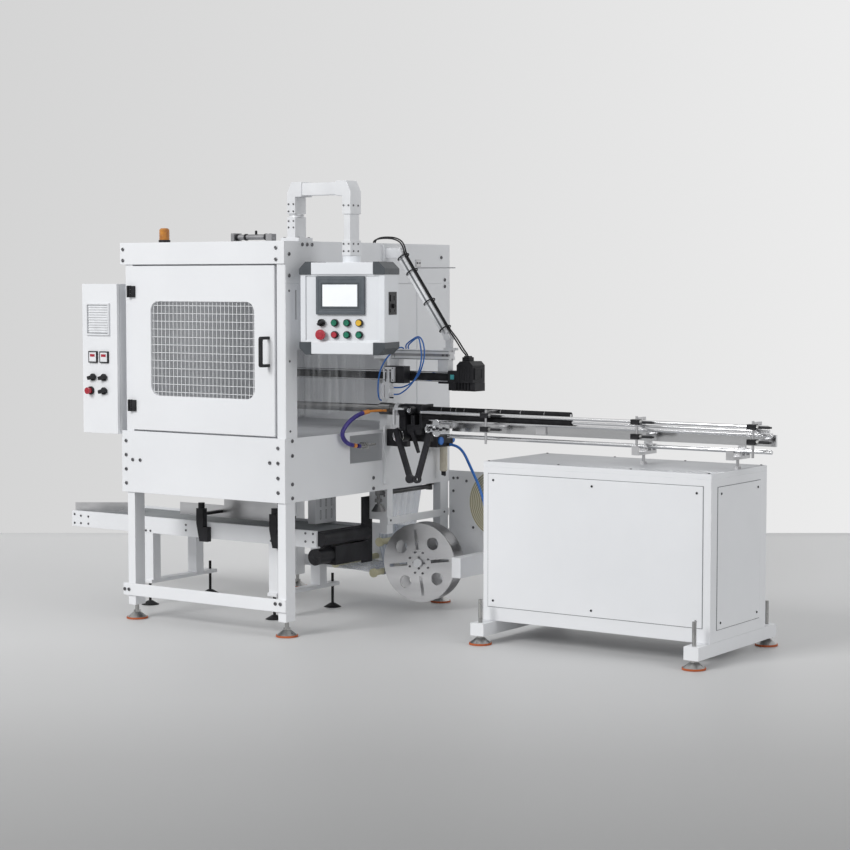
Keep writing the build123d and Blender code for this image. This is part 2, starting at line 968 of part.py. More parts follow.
def axis_motor():
    left = axis_right
    body_left = left + motor_gap
    body_right = body_left + motor_length
    y0 = (axis_front + axis_back - motor_depth) / 2
    y1 = y0 + motor_depth
    base_left = left + motor_gap / 2
    base_right = body_right + 6
    base_low = axis_bottom - motor_base_height
    coupling = block(left, body_left, axis_front, axis_back, axis_bottom, axis_top + 6)
    body = block(body_left, body_right, y0, y1, axis_bottom, axis_bottom + motor_height)
    body = chamfer(body.edges().filter_by(Axis.Y).group_by(Axis.Z)[-1], motor_chamfer)
    base = block(base_left, base_right, y0 + 8, y1 - 8, base_low, axis_bottom)
    rib = (base_right - base_left) / 15
    for step in range(3, 12, 2):
        rib_x = base_left + step * rib
        base = base - block(rib_x, rib_x + rib, y0 + 8, y0 + 14, base_low, axis_bottom)
    bracket = block(left, base_left, axis_front + 4, axis_back - 4, base_low, axis_bottom)
    return coupling + body + base + bracket


carriage_back = axis_front - slide_gap
carriage_front = carriage_back - carriage_depth
carriage_left = right_face + carriage_reach
carriage_bottom = axis_bottom - carriage_drop
gripper_bottom = feed_top + gripper_rise


def carriage():
    right = carriage_left + carriage_length
    top = carriage_bottom + carriage_height
    body = block(carriage_left, right, carriage_front, carriage_back, carriage_bottom, top)
    return chamfer(body.edges().filter_by(Axis.X), slide_gap * 4)


def gripper():
    plate_left = carriage_left + 3
    plate_right = plate_left + gripper_length
    plate_front = carriage_front - gripper_plate
    plate_low = carriage_bottom + 6
    plate_high = carriage_bottom + carriage_height - 4
    plate = block(plate_left, plate_right, plate_front, carriage_front, plate_low, plate_high)
    third = gripper_length / 3
    for step in (1, 2):
        slot_x = plate_left + step * third
        plate = plate - block(
            slot_x - 4, slot_x + 4, plate_front, plate_front + gripper_plate / 2, plate_low + 12, plate_high - 12
        )
    body_left = plate_left - 12
    body_front = plate_front - 4
    body_back = body_front + gripper_depth
    barrels = block(plate_left, plate_left + 32, body_front, carriage_front, carriage_bottom - 8, plate_low)
    for step in (0, 1):
        barrel_x = body_left + step * 23
        piece = block(barrel_x, barrel_x + 20, body_front, body_back, gripper_bottom + 5, carriage_bottom - 2)
        barrels = barrels + piece
    foot = block(body_left - 3, body_left + 46, body_front, body_back, gripper_bottom, gripper_bottom + 5)
    for z in (gripper_bottom + 18, gripper_bottom + 46):
        barrels = barrels + rod_x(body_left + 43, body_left + 62, body_front + 12, z, 6)
    return plate + barrels + foot


# Guide rods for the cups
rods_left = right_face + rods_reach
rods_right = rods_left + rods_length
rail_left = rods_left + rail_offset
front_rod_z = feed_top + front_rod_rise
middle_rod_z = feed_top + middle_rod_rise
bottom_rod_z = feed_top + bottom_rod_rise
foam_back_z = feed_top + foam_back_rise
foam_front_z = feed_top + foam_front_rise
rail_z = feed_top + rail_rise
feed_tube_z = feed_top + feed_tube_rise
foam_left = rods_left + foam_start
foam_back_right = foam_left + foam_back_length
foam_front_right = foam_left + foam_front_length
rail_front = rail_y - rail_depth / 2
rail_back = rail_y + rail_depth / 2


def guide_rods():
    rail_low = rail_z - rail_height / 2
    rail_high = rail_z + rail_height / 2
    pieces = [
        rod_x(rods_left, rods_right, front_rod_y, front_rod_z, front_rod_radius),
        rod_x(rods_left, rods_right, rods_y, middle_rod_z, rod_radius),
        rod_x(rail_left, rods_right, rods_y, bottom_rod_z, rod_radius),
        rod_x(rods_left, foam_back_right, foam_back_y, foam_back_z, core_radius),
        rod_x(rods_left, rods_right, foam_front_y, foam_front_z, core_radius),
        block(rail_left, rods_right, rail_front, rail_back, rail_low, rail_high),
    ]
    return Compound(pieces)


def foam_tubes():
    pieces = []
    for y, z, right in ((foam_back_y, foam_back_z, foam_back_right), (foam_front_y, foam_front_z, foam_front_right)):
        sleeve = rod_x(foam_left, right, y, z, foam_radius)
        pieces.append(sleeve - rod_x(foam_left, right, y, z, core_radius + foam_clearance))
    return Compound(pieces)


def rod_post(x):
    # One post in front of the rods, with grips that reach back over and under them
    x0 = x - grip_half
    x1 = x + grip_half
    low = feed_top + base_rise + base_thickness
    held = foam_radius if x < foam_front_right else core_radius
    grip_low = foam_back_z
    grip_high = grip_low + grip_height
    grip_back = foam_back_y - foam_radius if x < foam_back_right else rods_y + grip_half
    post = rod_z(x, post_y, low, feed_top + post_rise, post_radius)
    over = block(x0, x1, post_y, grip_back, grip_low, grip_high)
    to_foam = block(
        x0, x1, foam_front_y - grip_half, foam_front_y + grip_half, foam_front_z + held, grip_low
    )
    to_middle = block(
        x0, x1, rods_y - grip_half, rods_y + grip_half, middle_rod_z + rod_radius, grip_low
    )
    under = rod_y(x, post_y, rail_front, rail_z, lower_grip_radius)
    return post + over + to_foam + to_middle + under


def rod_base(x):
    low = feed_top + base_rise
    high = low + base_thickness
    x0 = x - base_half
    x1 = x + base_half
    plate = block(x0, x1, base_front, base_back, low, high)
    front_lug = block(x0, x1, base_front, base_front + lug_thickness / 2, low, low + lug_height)
    back_lug = block(x0, x1, base_back - lug_thickness, base_back, low, low + lug_height)
    seat = block(x0, x1, rods_y - grip_half, rods_y + grip_half, high, bottom_rod_z - rod_radius)
    rail_seat = block(x0, x1, rail_front, rail_back, high, rail_z - rail_height / 2)
    stand = rod_z(x, rods_y, feed_top, low, stand_radius)
    flange = nut_z(x, rods_y, feed_top, feed_top + stand_flange_height, stand_flange_radius)
    return plate + front_lug + back_lug + seat + rail_seat + stand + flange


def rod_supports():
    pieces = []
    bases = [right_face + reach for reach in base_reaches]
    posts = [right_face + reach for reach in post_reaches]
    for x in bases:
        pieces.append(rod_base(x) + rod_post(x) if x in posts else rod_base(x))
    for x in posts:
        if x not in bases:
            pieces.append(rod_post(x))
    clamp = rod_x(rods_left, rail_left, rail_y, rail_z, rail_depth)
    hexagon = extrude(Plane.YZ * RegularPolygon(rail_height / 2, 6), amount=rail_height)
    pieces.append(clamp + Pos(rods_left + rail_height / 4, rail_y, rail_z) * hexagon)
    plate_left = right_face + rail_plate_reach
    pieces.append(
        block(
            plate_left,
            plate_left + rail_plate_width,
            rail_front - lug_thickness,
            rail_front,
            rail_z - 17,
            rail_z + rail_height / 2,
        )
    )
    return Compound(pieces)


head_left = right_face + head_reach
head_right = head_left + head_length


def feed_tube():
    nozzle_left = right_face + 2
    nozzle_right = nozzle_left + feed_nozzle_length
    tube = rod_x(right_face - feed_tube_inside, nozzle_left, rods_y, feed_tube_z, feed_tube_radius)
    nozzle = rod_x(nozzle_left, nozzle_right, rods_y, feed_tube_z, feed_nozzle_radius)
    ring = rod_x(nozzle_right, head_left, rods_y, feed_tube_z, feed_ring_radius)
    return tube + nozzle + ring


arm_top_z = feed_top + arm_rise
arm_end_z = feed_top - arm_end_drop
head_bottom = bottom_rod_z
head_top = head_bottom + head_height


def feed_head():
    body_front = head_front + head_body_inset
    link_front = head_front + head_link_inset
    bracket_left = right_face + head_plate_thickness
    bracket_top = feed_top + 87
    bracket = block(
        bracket_left, head_left, head_back - 28, head_back, bracket_top - arm_bracket_height, bracket_top
    )
    body = block(head_left, head_right, body_front, head_back, head_bottom - 30, head_top)
    end_left = rods_left - head_plate
    end_plate = block(end_left, rods_left, head_front - 2, head_back + 8, head_bottom + 12, head_top)
    link = block(head_right, end_left, link_front, head_back, arm_top_z + 3, arm_top_z + 53)
    saddle_x = (head_left + rods_left) / 2
    saddle_z = head_top - saddle_radius + saddle_rise
    saddle = rod_y(saddle_x, link_front, head_back - 20, saddle_z, saddle_radius)
    saddle = saddle & block(head_left, rods_left, head_front, head_back, head_top - 20, head_top + 4)
    pivot_x = head_left + pivot_radius
    pivot = rod_y(pivot_x, base_front, body_front, arm_top_z, pivot_radius)
    roller = rod_y(saddle_x, head_front, link_front, feed_tube_z, roller_radius)
    roller_boss = block(saddle_x - 9, saddle_x + 9, link_front, head_back, arm_top_z + 53, head_top - 20)
    lever = side_profile(
        [
            (head_right + 2, arm_top_z + 15),
            (head_right + 22, arm_top_z + 9),
            (head_right + 52, arm_top_z - 83),
            (head_right + 36, arm_top_z - 85),
        ],
        link_front + 8,
        link_front + 20,
    )
    return bracket + body + end_plate + link + saddle + pivot + roller + roller_boss + lever


def v_arms():
    back = base_front
    front = back - arm_thickness

    def arm(start, end):
        length = math.hypot(end[0] - start[0], end[1] - start[1])
        slope = math.degrees(math.atan2(end[1] - start[1], end[0] - start[0]))
        middle = ((start[0] + end[0]) / 2, (start[1] + end[1]) / 2)
        return Pos(middle[0], (front + back) / 2, middle[1]) * Rot(0, -slope, 0) * Box(
            length, arm_thickness, arm_bar
        )

    left_end = right_face + arm_left_end
    right_end = right_face + arm_right_end
    hang_x = right_face + hang_reach
    left = arm((head_left + pivot_radius - 8, arm_top_z), (left_end, arm_end_z))
    left = left + rod_y(left_end, front - 4, back, arm_end_z, arm_left_radius)
    right = arm((hang_x - 4, arm_top_z - 12), (right_end, arm_end_z))
    right = right + rod_y(right_end, front - 4, back, arm_end_z, arm_right_radius)
    pin_z = rail_z - rail_depth - arm_pin_radius
    right = right + rod_y(hang_x - 4, front, rail_y, pin_z, arm_pin_radius)
    return left + right - rod_y(right_end, front - 4, back, arm_end_z, arm_eye_radius)


# Reel, film roll and their carriers
film_plate_y = rear_inner
reel_x = right_face + reel_reach
reel_y = film_plate_y - reel_back
carrier_x0 = right_face + carrier_reach
carrier_x1 = carrier_x0 + carrier_width
carrier_top = carrier_bottom + carrier_height


def reel_turned(piece):
    return Pos(reel_x, reel_y, reel_z) * Rot(0, 0, reel_yaw) * piece


def reel_sheet():
    sheet = Circle(reel_radius) - Circle(shaft_radius + shaft_clearance)
    slot_length = reel_slot_end - reel_slot_start
    slot_middle = (reel_slot_start + reel_slot_end) / 2
    for step in range(4):
        hole_place = Rot(0, 0, reel_turn + 45 + 90 * step) * Pos(reel_radius * reel_hole_share, 0)
        slot_place = Rot(0, 0, reel_turn + 90 * step) * Pos(slot_middle, 0)
        sheet = sheet - hole_place * Circle(reel_hole_radius)
        sheet = sheet - slot_place * Rectangle(slot_length, reel_slot_width)
    return sheet


def reel():
    half = reel_width / 2
    disc = extrude(Plane.XZ * reel_sheet(), amount=reel_disc)
    hub = rod_y(0, -half, half, 0, reel_hub_radius) - rod_y(0, -half, half, 0, shaft_radius + shaft_clearance)
    return reel_turned(Pos(0, -half, 0) * disc + hub + Pos(0, half + reel_disc, 0) * disc)


def reel_carrier():
    beam = block(carrier_x0, carrier_x1, film_plate_y - carrier_length, film_plate_y, carrier_bottom, carrier_top)
    half = reel_width / 2 + reel_disc
    arm_front = half + 6
    arm = block(-25, carrier_x1 - reel_x, arm_front, arm_front + 20, -25, 25)
    nose = half + 6
    shaft = rod_y(0, -nose - 14, arm_front, 0, shaft_radius)
    collar = rod_y(0, -nose - 14, -nose, 0, shaft_radius + 6)
    beyond = block(carrier_x0, carrier_x1 + carrier_reach, 0, film_plate_y, carrier_bottom, carrier_top)
    return beam + (reel_turned(arm + shaft + collar) - beyond)


roll_x = right_face + roll_reach
roll_back = film_plate_y - roll_back_gap
roll_front = roll_back - roll_width


def film_plate():
    plate_back = film_plate_y + film_plate_thickness
    plate = block(
        housing_width, right_face + film_plate_reach, film_plate_y, plate_back, film_plate_bottom, film_plate_top
    )
    mandrel = rod_y(roll_x, roll_front - 20, film_plate_y, roll_z, roll_core_radius - core_clearance)
    stand_z = brace_bottom + brace_height
    lower_left = right_face - lower_plate_reach
    lower = block(lower_left, housing_width, film_plate_y, plate_back, stand_z, lower_plate_top)
    return plate + mandrel + lower


def film_roll():
    ring = Circle(roll_radius) - Circle(roll_core_radius)
    return Pos(roll_x, roll_front, roll_z) * extrude(Plane.XZ * ring, amount=-roll_width)


roller_places = (
    (right_face - 156.0, 281.0, 296.0),
    (right_face - 151.0, 154.0, 346.0),
    (right_face - 390.0, 172.0, 300.0),
)


def guide_rollers():
    pieces = []
    for x, z, reach in roller_places:
        front = film_plate_y - reach
        roller = rod_y(x, front, film_plate_y, z, roller_radius)
        pieces.append(roller + rod_y(x, front - roller_cap_length, front, z, roller_cap_radius))
    return Compound(pieces)


def film_web():
    # Down past the left of the upper roller, round the right of the lower one and under the last
    first_x, first_z, first_reach = roller_places[0]
    second_x, second_z, second_reach = roller_places[1]
    last_x, last_z, last_reach = roller_places[2]
    gap = roller_radius + film_gap + film_thickness
    path = [
        (right_face - film_top_reach, lower_panel_top - 94),
        (first_x - gap, first_z),
        (second_x + gap + 0.5, second_z),
        (second_x + gap * 0.8, second_z - gap * 0.65),
        (second_x + gap * 0.35, second_z - gap),
        (second_x, second_z - gap - 0.2),
        (last_x, last_z - gap),
    ]
    one_face = []
    other_face = []
    for here, (x, z) in enumerate(path):
        before_x, before_z = path[max(here - 1, 0)]
        after_x, after_z = path[min(here + 1, len(path) - 1)]
        length = math.hypot(after_x - before_x, after_z - before_z)
        across_x = (after_z - before_z) / length * film_thickness / 2
        across_z = (before_x - after_x) / length * film_thickness / 2
        one_face.append((x + across_x, z + across_z))
        other_face.append((x - across_x, z - across_z))
    outline = one_face + other_face[::-1]
    return side_profile(outline, film_plate_y - film_front_inset, film_plate_y - film_back_inset)


# Regulator with its hose, and the hold-down foot
regulator_y = film_plate_y - regulator_ahead
regulator_z = feed_top + regulator_rise


def filter_regulator():
    x = right_face + regulator_reach
    y0 = regulator_y - regulator_length / 2
    y1 = regulator_y + regulator_length / 2
    half = regulator_width / 2
    low = regulator_z - regulator_height / 2
    high = regulator_z + regulator_height / 2
    bowl_y = regulator_y + regulator_length / 6
    body = block(x - half, x + half, y0, y1, low, high)
    body = chamfer(body.edges().filter_by(Axis.Y), regulator_width / 8)
    bracket = block(right_face, x - half, y0 + 30, y1 - 30, low, high)
    bowl_low = low - bowl_height
    bowl = rod_z(x, bowl_y, bowl_low, low, bowl_radius)
    tip = Pos(x, bowl_y, bowl_low - bowl_tip / 2) * Cone(bowl_radius / 2, bowl_radius - 4, bowl_tip)
    knob = rod_y(x, y1, y1 + 26, regulator_z, half - 6)
    outlet = rod_x(x + half, x + half + 12, bowl_y, low + 8, 8)
    return body + bracket + bowl + tip + knob + outlet


def hold_down_foot():
    x = column_x + column_width / 2
    rod = rod_y(x, column_front - 46, column_front, rod_z_place, 10)
    rear_rod = rod_y(x, column_back, column_back + 290, rod_z_place, 10)
    lug = block(x - 12, x + 12, column_back + 290, column_back + 306, rod_z_place - 14, lower_panel_bottom)
    plate = block(x - 12, right_inner, column_back + 290, column_back + 306, lower_panel_bottom - 8, lower_panel_bottom)
    foot_y0 = column_front - 36
    stem = rod_z(x, foot_y0, 470, rod_z_place, 7)
    nut = nut_z(x, foot_y0, 478, 492, 17)
    bell = Pos(x, foot_y0, 455) * Cone(foot_bell_radius, 12, 30)
    knob = rod_z(x, foot_y0, rod_z_place, rod_z_place + 14, 14)
    return Compound([rod + stem + nut + bell + knob, rear_rod + lug + plate])


feed_left = right_face + feed_reach
hose_start_x = right_face + regulator_reach + regulator_width / 2 + 12 + 19
hose_start_y = regulator_y + regulator_length / 6
hose_start_z = regulator_z - regulator_height / 2 + 8
hose_points = [
    (hose_start_x - 19, hose_start_y, hose_start_z),
    (hose_start_x + 14, hose_start_y, hose_start_z - 2),
    (hose_start_x + 54, hose_start_y - 5, hose_start_z - 27),
    (hose_start_x + 96, hose_start_y - 15, hose_start_z - 89),
    (right_face + 252, hose_start_y - 27, hose_end_z + 315),
    (right_face + 300, hose_start_y - 52, hose_end_z + 215),
    (right_face + 365, hose_start_y - 97, hose_end_z + 115),
    (feed_left - 219, hose_end_y + 115, hose_end_z + 40),
    (feed_left - 129, hose_end_y + 50, hose_end_z + 5),
    (feed_left - 64, hose_end_y, hose_end_z),
    (feed_left, hose_end_y, hose_end_z),
]


def corner_radii(points):
    radii = []
    for before, here, after in zip(points, points[1:], points[2:]):
        first = Vector(*here) - Vector(*before)
        second = Vector(*after) - Vector(*here)
        turn = math.radians(first.get_angle(second))
        run = min(first.length, second.length)
        radii.append(0.45 * run / math.tan(turn / 2))
    return radii


def supply_hose():
    radii = corner_radii(hose_points)
    print("hose radii", [round(radius) for radius in radii])
    path = FilletPolyline(*hose_points, radius=radii)
    print("hose length", round(path.length))
    section = Plane(origin=path @ 0, z_dir=path % 0) * Circle(hose_radius)
    return sweep(section, path=path)


def cable_route(y, slack):
    # Up out of the lid, over its edge, down the strut's upper face and into the motor
    motor_top = axis_bottom + motor_height
    roof = housing_height
    return [
        (right_face - 54, y, roof + 0.3),
        (right_face - 54, y, roof + 9 + slack / 2),
        (right_face - 34, y, roof + 18 + slack),
        (right_face + 8, y, roof + 21 + slack),
        (right_face + 56, y, roof + 17 + slack),
        (right_face + 92, y, roof - 3 + slack),
        (right_face + strut_high_reach + 22, y, roof - strut_high_drop + 1),
        (right_face + strut_low_reach + 8, y, beam_top + strut_low_rise + 20.8),
        (right_face + 358, y, beam_top + 42 + slack),
        (right_face + 388, y, beam_top + slack),
        (right_face + 412, y, motor_top + 22),
        (right_face + 412, y, motor_top + 0.3),
    ]


def strut_cables():
    pieces = []
    for y, slack in zip(cable_places, (0, cable_slack)):
        points = cable_route(y, slack)
        radii = corner_radii(points)
        print("cable radii", [round(radius) for radius in radii])
        path = FilletPolyline(*points, radius=radii)
        print("cable length", round(path.length))
        section = Plane(origin=path @ 0, z_dir=path % 0) * Circle(cable_radius)
        pieces.append(sweep(section, path=path))
    return Compound(pieces)


# Discharge table
table_right = housing_width - table_reach
table_left = table_right - table_length
leg_left = table_left + leg_inset
guide_left = table_left + guide_inset
table_back = table_front + table_depth
leg_places = (leg_left, leg_left + leg_spacing)
rail_top = rail_bottom + table_rail_height
bed_top = belt_top - belt_thickness


def table_rails():
    front = block(table_left, table_right, table_front, table_front + rail_thickness, rail_bottom, rail_top)
    rear = block(table_left, table_right, table_back - rail_thickness, table_back, rail_bottom, rail_top)
    bed = block(table_left, table_right, table_front, table_back, rail_bottom + 10, bed_top)
    # The vented drive box stands on the rear rail, behind the polished guide
    box_left = table_right - drive_box_reach
    box_right = box_left + drive_box_width
    box_top = rail_top + drive_box_height
    box = block(box_left, box_right, table_back - drive_box_depth, table_back, rail_top, box_top)
    return front + rear + bed + box


def table_belt():
    inner_front = table_front + rail_thickness + belt_gap
    inner_back = table_back - rail_thickness - belt_gap
    return block(table_left, table_right, inner_front, inner_back, bed_top, belt_top)


def diverter_board():
    board = block(0, diverter_length, 0, diverter_thickness, belt_top, belt_top + diverter_height)
    placed = Pos(table_left + diverter_thickness, table_front + rail_thickness, 0) * Rot(0, 0, diverter_turn) * board
    within = block(table_left, table_right, table_front, table_back - rail_thickness, belt_top, housing_height)
    return placed & within


def table_legs():
    pieces = []
    bar_bottom = table_leg_bottom - foot_bar_height
    bar_front = table_front - foot_bar_front
    bar_back = table_back + foot_bar_back
    for x in leg_places:
        bar = block(x, x + table_leg, bar_front, bar_back, bar_bottom, table_leg_bottom)
        for y in (table_front, table_back - table_leg):
            bar = bar + block(x, x + table_leg, y, y + table_leg, table_leg_bottom, rail_bottom)
        pieces.append(bar)
    return Compound(pieces)


def table_feet():
    pieces = []
    for x in leg_places:
        for y in (table_front + 7, table_back + foot_bar_back - table_foot_inset):
            centre = x + table_leg / 2
            pad = Pos(centre, y, table_foot_height / 2) * Cone(
                table_foot_radius, table_stud_radius * 2, table_foot_height
            )
            stud_top = table_leg_bottom - foot_bar_height
            stud = rod_z(centre, y, table_foot_height, stud_top, table_stud_radius)
            pieces.append(pad + stud)
            if y > table_back:
                above = table_leg_bottom + table_stud_above
                pieces.append(rod_z(centre, y, table_leg_bottom, above, table_stud_radius))
    return Compound(pieces)


guide_y = table_front + guide_plate_setback
polished_left = guide_left + guide_plate_length
clamp_left = table_left + clamp_inset


def table_guides():
    back = guide_y + guide_plate_thickness
    low = belt_top + guide_plate_rise
    white = block(guide_left, polished_left, guide_y, back, low, low + guide_plate_height)
    polished = block(
        polished_left, polished_left + polished_length, guide_y, back, low, low + polished_height
    )
    return white + polished


def guide_clamps():
    pieces = []
    front = table_front - clamp_front
    top = rail_top + clamp_rise
    for x in (clamp_left, clamp_left + clamp_spacing):
        right = x + clamp_width
        foot_left = x + clamp_step
        foot_right = foot_left + clamp_foot
        bracket = side_profile(
            [
                (x, top), (x, rail_top - 6), (foot_left, rail_bottom - 12), (foot_right, rail_bottom - 12),
                (foot_right, rail_top - 20), (right, rail_top - 20), (right, top),
            ],
            front,
            table_front,
        )
        bridge_low = belt_top + guide_plate_rise + 20
        bridge = block(foot_left, right, table_front, guide_y, bridge_low, bridge_low + 12)
        knob_y = table_front - clamp_front / 2
        knob = rod_z(x + clamp_width / 2, knob_y, top, top + clamp_knob_height, clamp_knob_radius)
        pieces.append(bracket + bridge + knob)
    return Compound(pieces)


motor_z = 273.0
motor_radius = 33.0
drive_right = table_right + 10
side_plate_thickness = 8.0


def table_drive():
    belt_cover = block(table_right, drive_right, table_front + 10, table_back - 10, rail_bottom + 6, rail_top - 2)
    drum = rod_y(drive_right, table_front + 10, table_back - 10, rail_bottom + 34, 30)
    drum = drum & block(drive_right, drive_right + 30, table_front, table_back, rail_bottom, rail_top)
    motor_x = table_right - 13
    motor_front = table_front + 10
    gear_front = motor_front + 90
    motor = rod_y(motor_x, motor_front, gear_front, motor_z, motor_radius)
    gearbox = block(motor_x - 44, motor_x + 36, gear_front, table_back - 6, motor_z - 40, rail_bottom)
    plate_left = drive_right - side_plate_thickness - 2
    side_plate = block(
        plate_left,
        plate_left + side_plate_thickness,
        table_back - 26,
        table_back + 44,
        218,
        table_bracket_bottom + 96,
    )
    return belt_cover + drum + motor + gearbox + side_plate


# Feed cabinet
feed_right = feed_left + feed_width
feed_back = feed_front + feed_depth
channel_back = channel_front + channel_length


def feed_cabinet():
    body = block(feed_left, feed_right, feed_front, feed_back, feed_bottom, feed_top - feed_top_sheet)
    front_cover = block(feed_left + 23, feed_right - 33, feed_front - cover_proud, feed_front, 139, 656)
    side_cover = block(feed_right, feed_right + cover_proud, feed_front + 51, feed_back - 59, 129, 651)
    return body + front_cover + side_cover


def feed_cabinet_top():
    return block(feed_left, feed_right, feed_front, feed_back, feed_top - feed_top_sheet, feed_top)


def cabinet_channels():
    pieces = []
    for x in (feed_left, feed_right - channel_width):
        channel = block(x, x + channel_width, channel_front, channel_back, channel_bottom, feed_bottom)
        for y in (channel_front + channel_foot_inset, channel_back - channel_foot_inset):
            hole = rod_z(x + channel_width / 2, y, channel_bottom, feed_bottom, stud_radius + stud_clearance)
            channel = channel - hole
        pieces.append(channel)
    return Compound(pieces)


makers = [
    corner_posts, top_boards, lower_panels, side_cover_strip, upper_side_panel, rear_side_plate,
    plain_covers, deck_plate, levelling_feet, sole_pads, door_panel, door_mesh, door_handle,
    door_hinges, post_hinges, electrical_cabinet, cabinet_controls, beacon_base, beacon_lens,
    top_cylinder, arm_base, swing_arm, hmi_box, hmi_corners, hmi_screen, hmi_buttons, side_column,
    support_beam, diagonal_strut, linear_axis, axis_motor, carriage, gripper, guide_rods,
    foam_tubes, rod_supports, feed_tube, feed_head, v_arms, reel, reel_carrier, film_plate,
    film_roll, guide_rollers, film_web, filter_regulator, hold_down_foot, supply_hose,
    strut_cables, table_rails, table_belt, diverter_board, table_legs, table_feet,
    table_guides, guide_clamps, table_drive, feed_cabinet, feed_cabinet_top, cabinet_channels,
]

os.makedirs("parts", exist_ok=True)
to_origin = Location((-foot_x, -foot_y, 0))
for make in makers:
    export_step(to_origin * make(), "parts/" + make.__name__ + ".step")
print(len(makers), "pieces written")
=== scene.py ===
# Cup packing machine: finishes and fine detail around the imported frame
import json
import math

import bmesh
import bpy
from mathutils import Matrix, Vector


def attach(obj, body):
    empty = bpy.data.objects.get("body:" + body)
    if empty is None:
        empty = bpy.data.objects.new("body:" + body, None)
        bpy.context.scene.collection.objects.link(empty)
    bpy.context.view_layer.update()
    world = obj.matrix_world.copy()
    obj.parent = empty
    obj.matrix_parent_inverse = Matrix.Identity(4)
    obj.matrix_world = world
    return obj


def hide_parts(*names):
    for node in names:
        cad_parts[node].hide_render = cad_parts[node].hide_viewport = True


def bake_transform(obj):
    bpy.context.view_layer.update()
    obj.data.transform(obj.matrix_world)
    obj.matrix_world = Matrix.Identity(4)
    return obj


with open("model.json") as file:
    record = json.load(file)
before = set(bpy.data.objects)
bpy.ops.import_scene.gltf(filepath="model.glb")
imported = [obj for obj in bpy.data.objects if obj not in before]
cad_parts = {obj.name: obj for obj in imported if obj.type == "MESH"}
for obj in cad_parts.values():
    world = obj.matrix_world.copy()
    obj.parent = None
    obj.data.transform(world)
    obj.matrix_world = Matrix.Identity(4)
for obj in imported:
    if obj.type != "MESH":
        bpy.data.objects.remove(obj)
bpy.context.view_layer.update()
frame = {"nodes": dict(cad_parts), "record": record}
print("frame loaded", len(frame["nodes"]), "nodes")

millimetre = 0.001
cornerX = 42.0  # the housing's front left corner, measured from the origin, in mm
cornerY = 38.0


def place(x, y, z):
    # Housing corner millimetres to metres in the frame
    return ((x - cornerX) * millimetre, (y - cornerY) * millimetre, z * millimetre)


def here(x, y, z):
    # Millimetres about the world's own origin, for what is turned into place afterwards
    return (x * millimetre, y * millimetre, z * millimetre)


def deselect():
    if bpy.context.object and bpy.context.object.mode != "OBJECT":
        bpy.ops.object.mode_set(mode="OBJECT")
    bpy.ops.object.select_all(action="DESELECT")


# Camera, as the photograph was taken
cameraView = {"x": 5874.4, "y": -6296.5, "z": 1395.0, "turn": 34.64, "down": 3.96, "lens": 87.49}
deselect()
bpy.ops.object.camera_add(
    location=place(cameraView["x"], cameraView["y"], cameraView["z"]),
    rotation=(math.radians(90 - cameraView["down"]), 0, math.radians(cameraView["turn"])),
)
camera = bpy.context.object
camera.data.lens = cameraView["lens"]
camera.data.sensor_width = 36
camera.data.clip_end = 100
bpy.context.scene.camera = camera
print("camera placed")


# Finishes
def newFinish(name):
    finish = bpy.data.materials.new(name)
    finish.use_nodes = True
    tree = finish.node_tree
    shader = tree.nodes["Principled BSDF"]
    where = tree.nodes.new("ShaderNodeTexCoord")
    return finish, tree, shader, where.outputs["Object"]


def noiseOn(tree, where, scale, detail=3.0, stretch=None):
    noise = tree.nodes.new("ShaderNodeTexNoise")
    noise.inputs["Scale"].default_value = scale
    noise.inputs["Detail"].default_value = detail
    if stretch:
        mapping = tree.nodes.new("ShaderNodeMapping")
        mapping.inputs["Scale"].default_value = stretch
        tree.links.new(where, mapping.inputs["Vector"])
        where = mapping.outputs["Vector"]
    tree.links.new(where, noise.inputs["Vector"])
    return noise.outputs["Fac"]


def toColours(tree, amount, colours, low=0.3, high=0.7):
    ramp = tree.nodes.new("ShaderNodeValToRGB")
    ramp.color_ramp.elements[0].position = low
    ramp.color_ramp.elements[0].color = (*colours[0], 1)
    ramp.color_ramp.elements[1].position = high
    ramp.color_ramp.elements[1].color = (*colours[1], 1)
    tree.links.new(amount, ramp.inputs["Fac"])
    return ramp.outputs["Color"]


def toRange(tree, amount, low, high):
    spread = tree.nodes.new("ShaderNodeMapRange")
    spread.inputs["To Min"].default_value = low
    spread.inputs["To Max"].default_value = high
    tree.links.new(amount, spread.inputs["Value"])
    return spread.outputs["Result"]


def bumpFrom(tree, shader, amount, strength, distance=0.0006):
    bump = tree.nodes.new("ShaderNodeBump")
    bump.inputs["Strength"].default_value = strength
    bump.inputs["Distance"].default_value = distance
    tree.links.new(amount, bump.inputs["Height"])
    tree.links.new(bump.outputs["Normal"], shader.inputs["Normal"])


def surfaceFinish(name, look):
    finish, tree, shader, where = newFinish(name)
    patches = noiseOn(tree, where, look["patch"], 4.0, look.get("stretch"))
    colour = toColours(tree, patches, (look["dark"], look["light"]))
    tree.links.new(colour, shader.inputs["Base Color"])
    wear = noiseOn(tree, where, look["patch"] * 3, 5.0, look.get("stretch"))
    tree.links.new(toRange(tree, wear, *look["rough"]), shader.inputs["Roughness"])
    grain = noiseOn(tree, where, look["grain"], 2.0, look.get("stretch"))
    bumpFrom(tree, shader, grain, look["depth"])
    shader.inputs["Metallic"].default_value = look.get("metal", 0.0)
    shader.inputs["Coat Weight"].default_value = look.get("coat", 0.0)
    shader.inputs["Specular IOR Level"].default_value = look.get("specular", 0.5)
    if "glow" in look:
        tree.links.new(colour, shader.inputs["Emission Color"])
        shader.inputs["Emission Strength"].default_value = look["glow"]
    return finish


